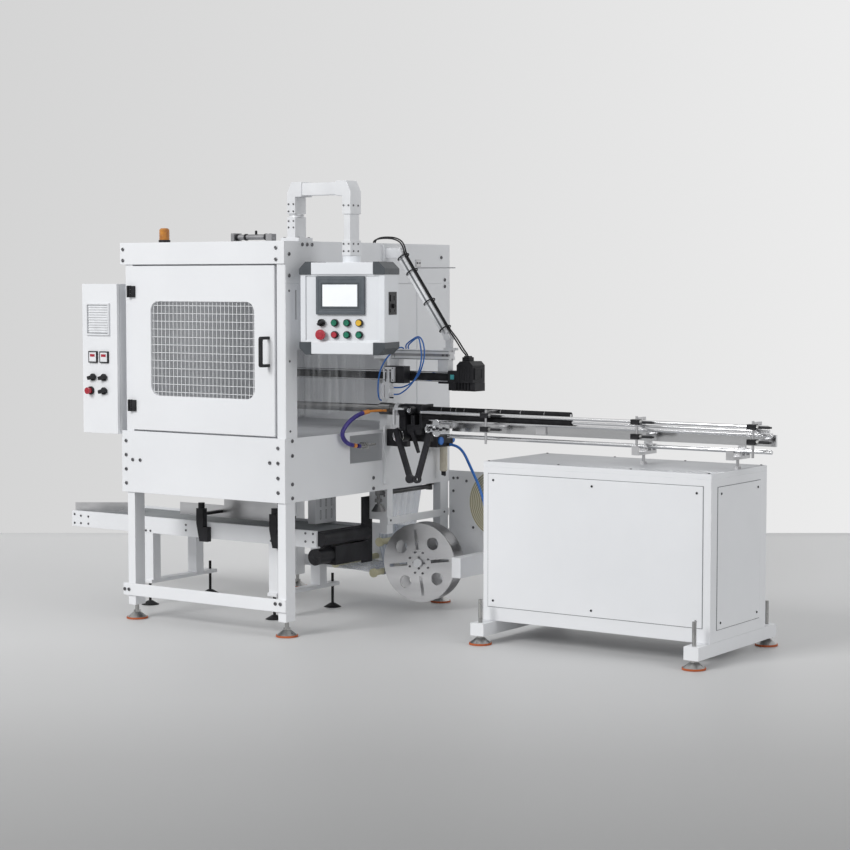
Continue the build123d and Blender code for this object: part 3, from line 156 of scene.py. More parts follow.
def surface(dark, light, patch, grain, depth, rough, **more):
    # Two tones, the size of their patches, the grain's scale and depth, and the range of roughness
    return {"dark": dark, "light": light, "patch": patch, "grain": grain, "depth": depth,
            "rough": rough, **more}


surfaceLooks = {
    "whitePowderCoat": surface((0.78, 0.79, 0.81), (0.83, 0.84, 0.86), 2.2, 900, 0.12, (0.32, 0.46)),
    "greyPowderCoat": surface((0.42, 0.43, 0.45), (0.48, 0.49, 0.51), 3.0, 700, 0.15, (0.35, 0.5)),
    "panelPaint": surface((0.74, 0.76, 0.79), (0.79, 0.81, 0.84), 5.0, 1200, 0.1, (0.3, 0.42)),
    "slateCasting": surface((0.03, 0.038, 0.046), (0.05, 0.06, 0.07), 20.0, 900, 0.2, (0.38, 0.5)),
    "nickelPlate": surface((0.3, 0.3, 0.3), (0.48, 0.48, 0.47), 18.0, 300, 0.08, (0.22, 0.36), metal=1.0),
    "orangeRubber": surface((0.4, 0.08, 0.02), (0.5, 0.12, 0.035), 25.0, 600, 0.3, (0.6, 0.75)),
    "blackRubber": surface((0.012, 0.012, 0.013), (0.03, 0.03, 0.032), 22.0, 500, 0.3, (0.55, 0.75),
        specular=0.2),
    "blackPlastic": surface((0.014, 0.014, 0.016), (0.026, 0.026, 0.029), 30.0, 1400, 0.2, (0.35, 0.5),
        specular=0.22),
    "blackAnodised": surface((0.013, 0.013, 0.015), (0.028, 0.028, 0.032), 14.0, 900, 0.15, (0.3, 0.45),
        specular=0.22),
    "whiteWire": surface((0.78, 0.79, 0.8), (0.86, 0.87, 0.88), 30.0, 500, 0.1, (0.35, 0.5)),
    "clearAnodised": surface((0.62, 0.63, 0.65), (0.74, 0.75, 0.77), 9.0, 700, 0.1, (0.28, 0.42),
        metal=0.75, stretch=(0.15, 1.0, 1.0)),
    "brushedSteel": surface((0.5, 0.5, 0.51), (0.66, 0.66, 0.67), 12.0, 900, 0.15, (0.22, 0.4), metal=1.0,
        stretch=(0.08, 1.0, 1.0)),
    "polishedSteel": surface((0.66, 0.67, 0.68), (0.78, 0.78, 0.79), 8.0, 400, 0.04, (0.1, 0.2), metal=1.0,
        stretch=(0.05, 1.0, 1.0)),
    "silverPaint": surface((0.72, 0.73, 0.75), (0.82, 0.83, 0.85), 6.0, 900, 0.1, (0.25, 0.38), metal=0.25),
    "dullSteel": surface((0.24, 0.24, 0.25), (0.4, 0.4, 0.41), 14.0, 800, 0.12, (0.3, 0.45), metal=0.9),
    # Dark grey for painted shade in gaps and slots, and for the dark lines on the beam
    "seamGrey": surface((0.16, 0.17, 0.18), (0.22, 0.23, 0.24), 20.0, 900, 0.1, (0.5, 0.65), specular=0.3),
    "oiledSteel": surface((0.1, 0.1, 0.105), (0.2, 0.2, 0.2), 12.0, 500, 0.15, (0.25, 0.4), metal=1.0,
        stretch=(0.1, 1.0, 1.0)),
    "foamTube": surface((0.012, 0.012, 0.013), (0.022, 0.022, 0.024), 40.0, 420, 0.6, (0.7, 0.9),
        specular=0.15),
    "creamNylon": surface((0.6, 0.56, 0.36), (0.74, 0.7, 0.5), 16.0, 700, 0.1, (0.4, 0.55)),
    "amberLens": surface((0.3, 0.09, 0.008), (0.62, 0.25, 0.02), 30.0, 300, 0.1, (0.12, 0.2), coat=0.5),
    "blueHose": surface((0.015, 0.12, 0.44), (0.03, 0.18, 0.58), 30.0, 500, 0.1, (0.25, 0.35)),
    "beltRubber": surface((0.2, 0.215, 0.225), (0.27, 0.285, 0.295), 5.0, 1100, 0.4, (0.55, 0.7)),
    "greenCap": surface((0.0, 0.12, 0.07), (0.0, 0.2, 0.11), 60.0, 900, 0.1, (0.2, 0.3), coat=0.3),
    "redCap": surface((0.34, 0.015, 0.03), (0.46, 0.03, 0.05), 60.0, 900, 0.1, (0.2, 0.3), coat=0.3),
    "yellowCap": surface((0.7, 0.42, 0.02), (0.8, 0.5, 0.05), 60.0, 900, 0.1, (0.2, 0.3), coat=0.3),
    "boltSteel": surface((0.1, 0.1, 0.105), (0.2, 0.2, 0.21), 60.0, 400, 0.1, (0.25, 0.4), metal=1.0),
    "bezelGrey": surface((0.07, 0.085, 0.1), (0.1, 0.115, 0.13), 30.0, 1500, 0.15, (0.3, 0.42)),
    "displayGlass": surface((0.86, 0.89, 0.92), (0.92, 0.94, 0.96), 12.0, 60, 0.01, (0.06, 0.1), coat=0.5,
        glow=0.12),
    "violetPlastic": surface((0.03, 0.02, 0.16), (0.06, 0.04, 0.28), 40.0, 800, 0.1, (0.25, 0.4)),
    "orangePlastic": surface((0.62, 0.2, 0.03), (0.75, 0.3, 0.06), 40.0, 800, 0.1, (0.25, 0.4)),
    "cyanPlastic": surface((0.05, 0.42, 0.45), (0.1, 0.55, 0.58), 40.0, 800, 0.1, (0.25, 0.4)),
    "beigeBowl": surface((0.52, 0.47, 0.36), (0.68, 0.63, 0.52), 20.0, 200, 0.05, (0.1, 0.2), coat=0.4),
    "paperWhite": surface((0.72, 0.73, 0.75), (0.82, 0.83, 0.85), 30.0, 900, 0.05, (0.3, 0.4)),
}
finishes = {name: surfaceFinish(name, look) for name, look in surfaceLooks.items()}


def filmFinish(name, look):
    # Clear film: mostly see-through, with soft creases along its run
    finish, tree, shader, where = newFinish(name)
    creases = noiseOn(tree, where, look["crease"], 3.0, look["stretch"])
    tree.links.new(toColours(tree, creases, (look["dark"], look["light"])), shader.inputs["Base Color"])
    tree.links.new(toRange(tree, creases, *look["cover"]), shader.inputs["Alpha"])
    shader.inputs["Roughness"].default_value = 0.18
    bumpFrom(tree, shader, creases, 0.5, 0.004)
    return finish


finishes["clearFilm"] = filmFinish("clearFilm", {
    "crease": 14.0, "stretch": (1.0, 3.0, 0.25), "dark": (0.42, 0.48, 0.6), "light": (0.82, 0.87, 0.95),
    "cover": (0.2, 0.75)})
finishes["curtainFilm"] = filmFinish("curtainFilm", {
    "crease": 5.0, "stretch": (1.0, 6.0, 0.6), "dark": (0.7, 0.73, 0.75), "light": (0.97, 0.98, 0.99),
    "cover": (-0.25, 0.5)})


def woundFinish(name, look):
    # Film wound in turns: rings about the roll's middle, seen on its ends
    finish, tree, shader, where = newFinish(name)
    centre = tree.nodes.new("ShaderNodeMapping")
    centre.inputs["Location"].default_value = [-part for part in place(*look["middle"])]
    rings = tree.nodes.new("ShaderNodeTexWave")
    rings.wave_type = "RINGS"
    rings.rings_direction = "Y"
    rings.inputs["Scale"].default_value = look["rings"]
    rings.inputs["Distortion"].default_value = 1.2
    rings.inputs["Detail"].default_value = 2.0
    tree.links.new(where, centre.inputs["Vector"])
    tree.links.new(centre.outputs["Vector"], rings.inputs["Vector"])
    colour = toColours(tree, rings.outputs["Fac"], (look["dark"], look["light"]), 0.25, 0.75)
    tree.links.new(colour, shader.inputs["Base Color"])
    shader.inputs["Roughness"].default_value = 0.32
    shader.inputs["Coat Weight"].default_value = 0.3
    bumpFrom(tree, shader, rings.outputs["Fac"], 0.2)
    return finish


finishes["woundFilm"] = woundFinish("woundFilm", {
    "middle": (1180, 1085, 458), "rings": 34.0, "dark": (0.26, 0.24, 0.15), "light": (0.58, 0.55, 0.42)})


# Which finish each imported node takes
nodeFinishes = {
    "whitePowderCoat": [
        "corner_posts", "top_boards", "lower_panels", "side_cover_strip", "upper_side_panel",
        "rear_side_plate", "plain_covers", "door_panel", "electrical_cabinet", "side_column",
        "diagonal_strut", "reel_carrier", "film_plate", "table_rails", "table_legs", "feed_cabinet",
        "cabinet_channels",
    ],
    "greyPowderCoat": ["deck_plate", "feed_cabinet_top"],
    "nickelPlate": ["levelling_feet"],
    "orangeRubber": ["sole_pads"],
    "whiteWire": ["door_mesh"],
    "blackPlastic": [
        "door_handle", "door_hinges", "post_hinges", "cabinet_controls", "beacon_base",
        "filter_regulator", "hmi_screen",
    ],
    "amberLens": ["beacon_lens"],
    "silverPaint": ["arm_base", "swing_arm", "support_beam", "gripper"],
    "panelPaint": ["hmi_box"],
    "slateCasting": ["hmi_corners"],
    "greenCap": ["hmi_buttons"],
    "blackAnodised": [
        "linear_axis", "axis_motor", "carriage", "feed_head", "v_arms", "guide_clamps", "table_drive",
    ],
    "polishedSteel": ["guide_rods"],
    "foamTube": ["foam_tubes"],
    "dullSteel": ["top_cylinder"],
    "brushedSteel": ["rod_supports", "reel", "table_guides", "diverter_board"],
    "oiledSteel": ["feed_tube", "hold_down_foot"],
    "creamNylon": ["guide_rollers"],
    "woundFilm": ["film_roll"],
    "clearFilm": ["film_web"],
    "blueHose": ["supply_hose"],
    "beltRubber": ["table_belt"],
    "blackRubber": ["table_feet", "strut_cables"],
}
for finishName, nodeNames in nodeFinishes.items():
    for nodeName in nodeNames:
        node = frame["nodes"][nodeName]
        node.data.materials.clear()
        node.data.materials.append(finishes[finishName])
print("finishes on the packed nodes")


# Floor, light and background, with painted light and shade on the floor and the wall
studio = {"ambient": 0.42, "worldTone": 0.78, "worldColour": (0.97, 0.985, 1.0, 1)}
# Painted shade on the floor: its grey is dark near the camera and lighter away from it
floorPaintedShade = {
    "from": -3.6,
    "to": 2.9,
    "stops": ((0.02, 0.31), (0.16, 0.4), (0.29, 0.53), (0.47, 0.66), (1.0, 0.82)),
}
# Painted light on the wall: its grey is darker at the left and lighter at the right
backWall = {
    "distance": 11.34, "width": 16.0, "height": 6.0, "gap": 0.012, "toneReach": 2.4,
    "stops": ((0.0, 0.66), (0.45, 0.73), (1.0, 0.84)),
}
lamps = {
    "keyLamp": {"where": (-0.6, -7.8, 5.5), "aim": (1.0, 0.3, 0.8), "size": 3.5, "power": 540.0},
    "fillLamp": {"where": (7.5, 0.5, 4.5), "aim": (1.0, 0.5, 0.9), "size": 4.0, "power": 112.0},
    "insideLamp": {"where": (0.4, 0.35, 1.42), "aim": (0.4, 0.5, 0.8), "size": 0.4, "power": 0.8},
}


def paintedLightAcross(tree, where, turn, low, high, stops, way):
    # Painted light and shade: greys that change along one way of the piece
    mapping = tree.nodes.new("ShaderNodeMapping")
    mapping.inputs["Rotation"].default_value = (0, 0, turn)
    parts = tree.nodes.new("ShaderNodeSeparateXYZ")
    spread = tree.nodes.new("ShaderNodeMapRange")
    spread.inputs["From Min"].default_value = low
    spread.inputs["From Max"].default_value = high
    ramp = tree.nodes.new("ShaderNodeValToRGB")
    stopList = ramp.color_ramp.elements
    while len(stopList) < len(stops):
        stopList.new(0.5)
    for stop, (position, tone) in zip(stopList, stops):
        stop.position = position
        stop.color = (tone, tone, tone, 1)
    tree.links.new(where, mapping.inputs["Vector"])
    tree.links.new(mapping.outputs["Vector"], parts.inputs["Vector"])
    tree.links.new(parts.outputs[way], spread.inputs["Value"])
    tree.links.new(spread.outputs["Result"], ramp.inputs["Fac"])
    return ramp.outputs["Color"]


def studioFloor():
    deselect()
    bpy.ops.mesh.primitive_plane_add(size=80, location=(0, 0, -0.001))
    floor = bpy.context.object
    floor.name = "studioFloor"
    finish, tree, shader, where = newFinish("studioFloor")
    turn = -math.radians(cameraView["turn"])
    # The floor's colour is painted shade, darker towards the camera
    colour = paintedLightAcross(
        tree, where, turn, floorPaintedShade["from"], floorPaintedShade["to"], floorPaintedShade["stops"], "Y")
    tree.links.new(colour, shader.inputs["Base Color"])
    shader.inputs["Roughness"].default_value = 0.5
    floor.data.materials.append(finish)


def studioWall():
    # A pale wall behind the machine, which is clear when it is seen from behind; its greys are painted
    # light, darker at the left and lighter at the right
    turn = math.radians(cameraView["turn"])
    foot = Vector(place(cameraView["x"], cameraView["y"], 0))
    foot += Vector((-math.sin(turn), math.cos(turn), 0)) * backWall["distance"]
    deselect()
    bpy.ops.mesh.primitive_plane_add(
        size=1, location=(foot.x, foot.y, backWall["height"] / 2 + backWall["gap"]),
        rotation=(math.pi / 2, 0, turn),
    )
    wall = bpy.context.object
    wall.name = "studioWall"
    wall.scale = (backWall["width"], backWall["height"], 1)
    bpy.ops.object.transform_apply(location=False, rotation=False, scale=True)
    finish, tree, shader, where = newFinish("studioWall")
    reach = backWall["toneReach"]
    colour = paintedLightAcross(tree, where, 0, -reach, reach, backWall["stops"], "X")
    tree.links.new(colour, shader.inputs["Base Color"])
    seen = tree.nodes.new("ShaderNodeEmission")
    tree.links.new(colour, seen.inputs["Color"])
    lit = tree.nodes.new("ShaderNodeMixShader")
    tree.links.new(seenRays(tree), lit.inputs[0])
    tree.links.new(shader.outputs[0], lit.inputs[1])
    tree.links.new(seen.outputs[0], lit.inputs[2])
    sides = tree.nodes.new("ShaderNodeNewGeometry")
    clear = tree.nodes.new("ShaderNodeBsdfTransparent")
    whole = tree.nodes.new("ShaderNodeMixShader")
    tree.links.new(sides.outputs["Backfacing"], whole.inputs[0])
    tree.links.new(lit.outputs[0], whole.inputs[1])
    tree.links.new(clear.outputs[0], whole.inputs[2])
    tree.links.new(whole.outputs[0], tree.nodes["Material Output"].inputs["Surface"])
    wall.data.materials.append(finish)


def seenRays(tree):
    # One where a surface is seen straight, in a reflection or through something clear
    rays = tree.nodes.new("ShaderNodeLightPath")
    first = tree.nodes.new("ShaderNodeMath")
    first.operation = "MAXIMUM"
    second = tree.nodes.new("ShaderNodeMath")
    second.operation = "MAXIMUM"
    tree.links.new(rays.outputs["Is Camera Ray"], first.inputs[0])
    tree.links.new(rays.outputs["Is Glossy Ray"], first.inputs[1])
    tree.links.new(first.outputs[0], second.inputs[0])
    tree.links.new(rays.outputs["Is Transmission Ray"], second.inputs[1])
    return second.outputs[0]


def studioWorld():
    world = bpy.data.worlds.new("studioWorld")
    bpy.context.scene.world = world
    world.use_nodes = True
    tree = world.node_tree
    light = tree.nodes["Background"]
    light.inputs["Color"].default_value = studio["worldColour"]
    light.inputs["Strength"].default_value = studio["ambient"]
    seen = tree.nodes.new("ShaderNodeBackground")
    seen.inputs["Color"].default_value = (studio["worldTone"],) * 3 + (1,)
    mix = tree.nodes.new("ShaderNodeMixShader")
    tree.links.new(seenRays(tree), mix.inputs[0])
    tree.links.new(light.outputs[0], mix.inputs[1])
    tree.links.new(seen.outputs[0], mix.inputs[2])
    tree.links.new(mix.outputs[0], tree.nodes["World Output"].inputs["Surface"])


def softLamp(name, lampPlan):
    deselect()
    bpy.ops.object.light_add(type="AREA", location=lampPlan["where"])
    lamp = bpy.context.object
    lamp.name = name
    lamp.data.size = lampPlan["size"]
    lamp.data.energy = lampPlan["power"]
    way = Vector(lampPlan["aim"]) - Vector(lampPlan["where"])
    lamp.rotation_euler = way.to_track_quat("-Z", "Y").to_euler()


studioFloor()
studioWall()
studioWorld()
for lampName, lampPlan in lamps.items():
    softLamp(lampName, lampPlan)
bpy.context.scene.view_settings.view_transform = "Standard"
print("studio ready")


# Cords
def cordCurve(name, points, radius, finish):
    curve = bpy.data.curves.new(name, "CURVE")
    curve.dimensions = "3D"
    curve.bevel_depth = radius * millimetre
    curve.bevel_resolution = 4
    curve.resolution_u = 8
    curve.use_fill_caps = True
    spline = curve.splines.new("NURBS")
    spline.points.add(len(points) - 1)
    for spot, (x, y, z) in zip(spline.points, points):
        spot.co = (*place(x, y, z), 1)
    spline.use_endpoint_u = True
    spline.order_u = 3
    piece = bpy.data.objects.new(name, curve)
    bpy.context.scene.collection.objects.link(piece)
    curve.materials.append(finish)
    return piece


supplyHose = {
    "radius": 6.0,
    "length": 0.88,
    "points": [
        (938, 1037.3, 699), (971, 1037.3, 697), (1011, 1032.3, 672), (1053, 1022.3, 610),
        (1112, 1010.3, 520), (1160, 985.3, 420), (1225, 940.3, 320), (1310, 880, 245),
        (1400, 815, 210), (1465, 765, 205), (1529, 765, 205),
    ],
}
hose = cordCurve("airHose", supplyHose["points"], supplyHose["radius"], finishes["blueHose"])
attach(hose, "frame")
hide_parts("supply_hose")

motorCables = {
    "radius": 3.0,
    "length": 0.735,
    "motorCableFront": [
        (806, 663, 1555.3), (806, 663, 1564), (826, 663, 1573), (868, 663, 1576), (916, 663, 1572),
        (952, 663, 1552), (966, 663, 1506), (981, 663, 1485), (1165, 663, 1226), (1180, 663, 1204.8),
        (1218, 663, 1160), (1248, 663, 1118), (1272, 663, 1098), (1272, 663, 1076.3),
    ],
    "motorCableBack": [
        (806, 675, 1555.3), (806, 675, 1566.5), (826, 675, 1578), (868, 675, 1581), (916, 675, 1577),
        (952, 675, 1557), (966, 675, 1506), (981, 675, 1485), (1165, 675, 1226), (1180, 675, 1204.8),
        (1218, 675, 1165), (1248, 675, 1123), (1272, 675, 1098), (1272, 675, 1076.3),
    ],
}
for cableName in ("motorCableFront", "motorCableBack"):
    cable = cordCurve(cableName, motorCables[cableName], motorCables["radius"], finishes["blackRubber"])
    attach(cable, "frame")
    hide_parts("strut_cables")


def tubeAlong(name, points, radius, finish):
    # A tube as a mesh, with the line it follows read from its own spline
    bare = cordCurve(name, points, 0, finish)
    line = bpy.data.meshes.new_from_object(bare)
    path = [tuple(spot.co) for spot in line.vertices]
    bare.data.bevel_depth = radius * millimetre
    deselect()
    bare.select_set(True)
    bpy.context.view_layer.objects.active = bare
    bpy.ops.object.convert(target="MESH")
    return bpy.context.object, path


# Air tubes from the beam to the gripper
airTubes = {
    "radius": 3.0,
    "gripperLoopHigh": [
        (978, 655, 1121), (972, 655, 1134), (1000, 652, 1154), (1051, 642, 1178), (1083, 628, 1150),
        (1100, 613, 1100), (1097, 600, 1052), (1079, 592, 1010), (1049, 592, 984), (1005, 596, 966),
        (975, 596.5, 963), (958, 596.5, 963),
    ],
    "gripperLoopLow": [
        (990, 655, 1121), (984, 655, 1132), (1008, 650, 1150), (1051, 640, 1174), (1079, 612, 1138),
        (1098, 596, 1086), (1087, 585, 1021), (1041, 584, 966), (995, 590, 939), (972, 596.5, 935),
        (958, 596.5, 935),
    ],
    "gripperTubeLeft": [
        (966, 655, 1121), (960, 648, 1131), (942, 618, 1114), (918, 596, 1082), (899, 584, 1040),
        (891, 578, 994), (889, 578, 942), (889, 586, 918), (891, 593, 909), (896, 596, 908),
    ],
}
for tubeName in ("gripperLoopHigh", "gripperLoopLow", "gripperTubeLeft"):
    route = airTubes[tubeName]
    tube, tubePath = tubeAlong(tubeName, route, airTubes["radius"], finishes["blueHose"])
    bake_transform(tube)
print("cords laid")


# Shaping tools
front = (0, -1, 0)
back = (0, 1, 0)
right = (1, 0, 0)
left = (-1, 0, 0)
up = (0, 0, 1)
down = (0, 0, -1)


def activate(piece):
    deselect()
    piece.select_set(True)
    bpy.context.view_layer.objects.active = piece


def settle(piece):
    activate(piece)
    bpy.ops.object.transform_apply(location=True, rotation=True, scale=True)
    return piece


def cubeBetween(low, high, spot=place):
    deselect()
    middle = [(a + b) / 2 for a, b in zip(low, high)]
    size = [(b - a) * millimetre for a, b in zip(low, high)]
    bpy.ops.mesh.primitive_cube_add(size=1, location=spot(*middle), scale=size)
    return settle(bpy.context.object)


barrelTurns = {"x": (0, math.pi / 2, 0), "y": (math.pi / 2, 0, 0), "z": (0, 0, 0)}


def barrel(middle, axis, length, radius, sides=32, spot=place):
    deselect()
    bpy.ops.mesh.primitive_cylinder_add(
        vertices=sides, radius=radius * millimetre, depth=length * millimetre, location=spot(*middle),
        rotation=barrelTurns[axis],
    )
    return settle(bpy.context.object)


def pickFaces(piece, towards):
    # Edit mode, with only the faces that look that way selected
    activate(piece)
    bpy.ops.object.mode_set(mode="EDIT")
    bpy.ops.mesh.select_mode(type="FACE")
    bpy.ops.mesh.select_all(action="DESELECT")
    shape = bmesh.from_edit_mesh(piece.data)
    for face in shape.faces:
        face.select_set(face.normal.dot(Vector(towards)) > 0.95)
    bmesh.update_edit_mesh(piece.data)


def sinkFaces(piece, towards, rim, depth):
    # A rim all round, then the middle pushed in, or out where the depth is negative
    pickFaces(piece, towards)
    bpy.ops.mesh.inset(thickness=rim * millimetre)
    push = Vector(towards) * (-depth * millimetre)
    bpy.ops.mesh.extrude_region_move(TRANSFORM_OT_translate={"value": push})
    bpy.ops.object.mode_set(mode="OBJECT")
    return piece


def soften(piece, width, segments=2):
    activate(piece)
    edges = piece.modifiers.new("softEdges", "BEVEL")
    edges.width = width * millimetre
    edges.segments = segments
    edges.limit_method = "ANGLE"
    edges.angle_limit = math.radians(32)
    bpy.ops.object.modifier_apply(modifier=edges.name)
    bpy.ops.object.shade_smooth_by_angle(angle=math.radians(38))
    flats = piece.modifiers.new("evenFlats", "WEIGHTED_NORMAL")
    flats.keep_sharp = True
    bpy.ops.object.modifier_apply(modifier=flats.name)
    return piece


def softCube(low, high, sunk, edge, segments=2, spot=place):
    # A box with one face sunk, given as way, rim and depth, and then its edges broken
    return soften(sinkFaces(cubeBetween(low, high, spot), *sunk), edge, segments)


def softBarrel(middle, axis, length, radius, sunk, edge, segments=2, sides=32, spot=place):
    # A round piece finished as softCube's
    return soften(sinkFaces(barrel(middle, axis, length, radius, sides, spot), *sunk), edge, segments)


def tiltedCube(low, high, turn, where):
    # A box made about its own middle, tilted about Y, and then put in its place
    piece = cubeBetween(low, high, here)
    piece.rotation_euler.y = turn
    piece.location = where
    return settle(piece)


def joined(pieces):
    deselect()
    for piece in pieces:
        piece.select_set(True)
    bpy.context.view_layer.objects.active = pieces[0]
    if len(pieces) > 1:
        bpy.ops.object.join()
    return bpy.context.object


def copiesAt(master, spots):
    # The one piece copied to each place, each copy with its own mesh, and joined
    made = []
    for spot in spots:
        copy = master.copy()
        copy.data = master.data.copy()
        copy.location = place(*spot)
        bpy.context.scene.collection.objects.link(copy)
        made.append(copy)
    bpy.data.objects.remove(master)
    return settle(joined(made))


def keep(name, pieces, finish, body="frame", instead=None):
    # One named piece from several, dressed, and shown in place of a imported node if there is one
    whole = joined(pieces)
    whole.name = name
    whole.data.materials.clear()
    whole.data.materials.append(finishes[finish])
    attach(whole, body)
    if instead:
        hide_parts(instead)
    return whole


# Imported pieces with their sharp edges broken
nodeBody = {}
for bodyName, bodyNodes in frame["record"]["behaviour"]["bodies"].items():
    for nodeName in bodyNodes:
        nodeBody[nodeName] = bodyName


def brokenEdges(nodeName, width):
    node = frame["nodes"][nodeName]
    words = nodeName.split("_")
    name = words[0] + "".join(word.capitalize() for word in words[1:]) + "Soft"
    piece = bpy.data.objects.new(name, node.data.copy())
    bpy.context.scene.collection.objects.link(piece)
    activate(piece)
    bpy.ops.object.mode_set(mode="EDIT")
    bpy.ops.mesh.select_all(action="SELECT")
    bpy.ops.mesh.remove_doubles(threshold=0.00002)
    bpy.ops.mesh.dissolve_limited(angle_limit=math.radians(1.5))
    bpy.ops.object.mode_set(mode="OBJECT")
    soften(piece, width)
    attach(piece, nodeBody[nodeName])
    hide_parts(nodeName)
    return piece


edgeWidths = {
    2.5: ["corner_posts", "side_column", "table_legs", "feed_cabinet", "electrical_cabinet",
          "door_panel", "swing_arm", "arm_base", "hmi_box", "reel_carrier", "axis_motor",
          "top_cylinder"],
    1.2: ["top_boards", "lower_panels", "table_rails", "support_beam",
          "diagonal_strut", "linear_axis", "carriage", "gripper", "v_arms",
          "rod_supports", "guide_clamps", "table_drive", "film_plate", "cabinet_channels",
          "side_cover_strip", "rear_side_plate", "upper_side_panel"],
    1.8: ["door_handle", "hmi_corners"],
}
for edgeWidth, nodeNames in edgeWidths.items():
    for nodeName in nodeNames:
        brokenEdges(nodeName, edgeWidth)
print("edges broken")


# Screws
screwLooks = {"headShare": 0.55, "socketShare": 0.42, "socketDepth": 0.7, "edge": 0.4, "sides": 14}
lookTurns = {"front": (0, 0, 0), "right": (0, 0, math.pi / 2), "back": (0, 0, math.pi),
             "left": (0, 0, -math.pi / 2), "top": (-math.pi / 2, 0, 0)}


def onPlane(looking, depth, first, second):
    # A place on the plane that the screws stand on, from its two other measures
    if looking in ("front", "back"):
        return (first, depth, second)
    return (first, second, depth) if looking == "top" else (depth, first, second)


def screwsAt(name, looking, depth, radius, pairs, body="frame", finish="boltSteel"):
    height = radius * screwLooks["headShare"]
    head = softBarrel(
        (0, -height / 2, 0), "y", height, radius,
        (front, radius * screwLooks["socketShare"], height * screwLooks["socketDepth"]),
        height * screwLooks["edge"], sides=screwLooks["sides"], spot=here)
    head.rotation_euler = lookTurns[looking]
    settle(head)
    spots = [onPlane(looking, depth, *pair) for pair in pairs]
    keep(name, [copiesAt(head, spots)], finish, body)


def crossed(firsts, seconds):
    return [(first, second) for first in firsts for second in seconds]


housingScrews = {
    "radius": 7.5,
    "front": [
        (17, 1528), (17, 1483), (820, 1528), (820, 1483), (25, 742), (25, 684), (25, 625), (25, 567),
        (61, 665), (102, 665), (826, 746), (826, 687), (826, 628), (826, 571), (785, 687), (10, 124),
        (33, 124), (809, 132), (834, 132),
    ],
    "right": [
        (30, 1504), (30, 1420), (45, 773), (45, 715), (45, 603), (45, 548), (114, 1542), (145, 1542),
        (176, 1542), (1083, 1500), (585, 587), (585, 543), (1110, 1404), (1110, 1376), (1110, 790),
        (1110, 1100), (1110, 560), (680, 1420), (1110, 700),
    ],
    "heights": (1528, 1420, 742, 684, 567),
}
screwsAt("frontScrews", "front", 0, housingScrews["radius"], housingScrews["front"])
screwsAt("sideScrews", "right", 860, housingScrews["radius"], housingScrews["right"])
screwsAt("stripScrews", "right", 860, 4.5, [(30, 1361), (32, 1086), (34, 812)])
screwsAt("backScrews", "back", 1150, housingScrews["radius"], crossed((25, 835), housingScrews["heights"]))
screwsAt("leftScrews", "left", 0, housingScrews["radius"], crossed((78, 1110), housingScrews["heights"]))
screwsAt("columnScrews", "right", 860, 5.0, [(661, 520), (661, 505), (708, 398), (1108, 398)])
tableScrews = [
    (-600, 366), (-562, 361), (-517, 360), (-600, 327), (-562, 328), (-517, 328), (53, 361), (53, 338),
    (-176, 322), (-150, 322), (518, 326), (541, 326), (699, 370), (738, 370), (699, 336), (738, 336),
]
screwsAt("tableScrews", "front", 335, 5.0, tableScrews)
feedScrews = {
    "radius": 4.5,
    "front": crossed((1576, 2014, 2452), (163, 632)),
    "end": crossed((467, 771), (153, 627)),
    "top": crossed((1546, 1858, 2170, 2492), (406, 840)),
}
for screwName, looking, depth, side in (
    ("feedCoverScrews", "front", 389, "front"), ("feedEndScrews", "right", 2512, "end"),
    ("feedTopScrews", "top", 703, "top"),
):
    screwsAt(screwName, looking, depth, feedScrews["radius"], feedScrews[side], finish="blackAnodised")
screwsAt("filmPlateScrews", "front", 1146, 6.0, [
    (884, 544), (884, 488), (884, 399), (987, 334), (906, 545), (952, 534), (884, 200), (1310, 540),
    (1310, 200)])
print("screws set")


# Electrical cabinet: louvred grille, two controllers, selectors and the stop button
cabinetFront = -22.0
grille = {"left": -167.0, "right": -38.0, "low": 1175.0, "high": 1308.0, "proud": 9.0, "slats": 11,
          "lip": 9.0, "side": 11.0, "tilt": -30.0, "slatShare": 0.28, "slatHalf": 0.8, "inset": 6.0}


def louvredGrille():
    rim = softCube(
        (grille["left"], cabinetFront - grille["proud"], grille["low"]),
        (grille["right"], cabinetFront, grille["high"]), (front, 7, grille["proud"] - 2), 1.2)
    height = (grille["high"] - grille["low"] - 2 * grille["lip"]) / grille["slats"]
    halfWidth = (grille["right"] - grille["left"]) / 2 - grille["side"]
    halfHeight = height * grille["slatShare"]
    slat = cubeBetween(
        (-halfWidth, -grille["slatHalf"], -halfHeight), (halfWidth, grille["slatHalf"], halfHeight), here)
    slat.rotation_euler.x = math.radians(grille["tilt"])
    soften(settle(slat), 0.4, 1)
    middleX = (grille["left"] + grille["right"]) / 2
    middleY = cabinetFront - grille["proud"] / 2
    slats = copiesAt(slat, [
        (middleX, middleY, grille["low"] + grille["lip"] + height * (step + 0.5))
        for step in range(grille["slats"])])
    keep("cabinetGrille", [rim, slats], "paperWhite")
    inset = grille["inset"]
    shade = cubeBetween(
        (grille["left"] + inset, cabinetFront - 2.4, grille["low"] + inset),
        (grille["right"] - inset, cabinetFront - 0.5, grille["high"] - inset))
    keep("grilleShade", [sinkFaces(shade, front, 3, 0.5)], "bezelGrey")


controls = {
    "controllers": [(-132, 1085), (-70, 1085)],
    "selectors": [(-135, 1001), (-74, 1001), (-74, 945)],
    "stop": (-147, 945),
    "half": 24.0,
}


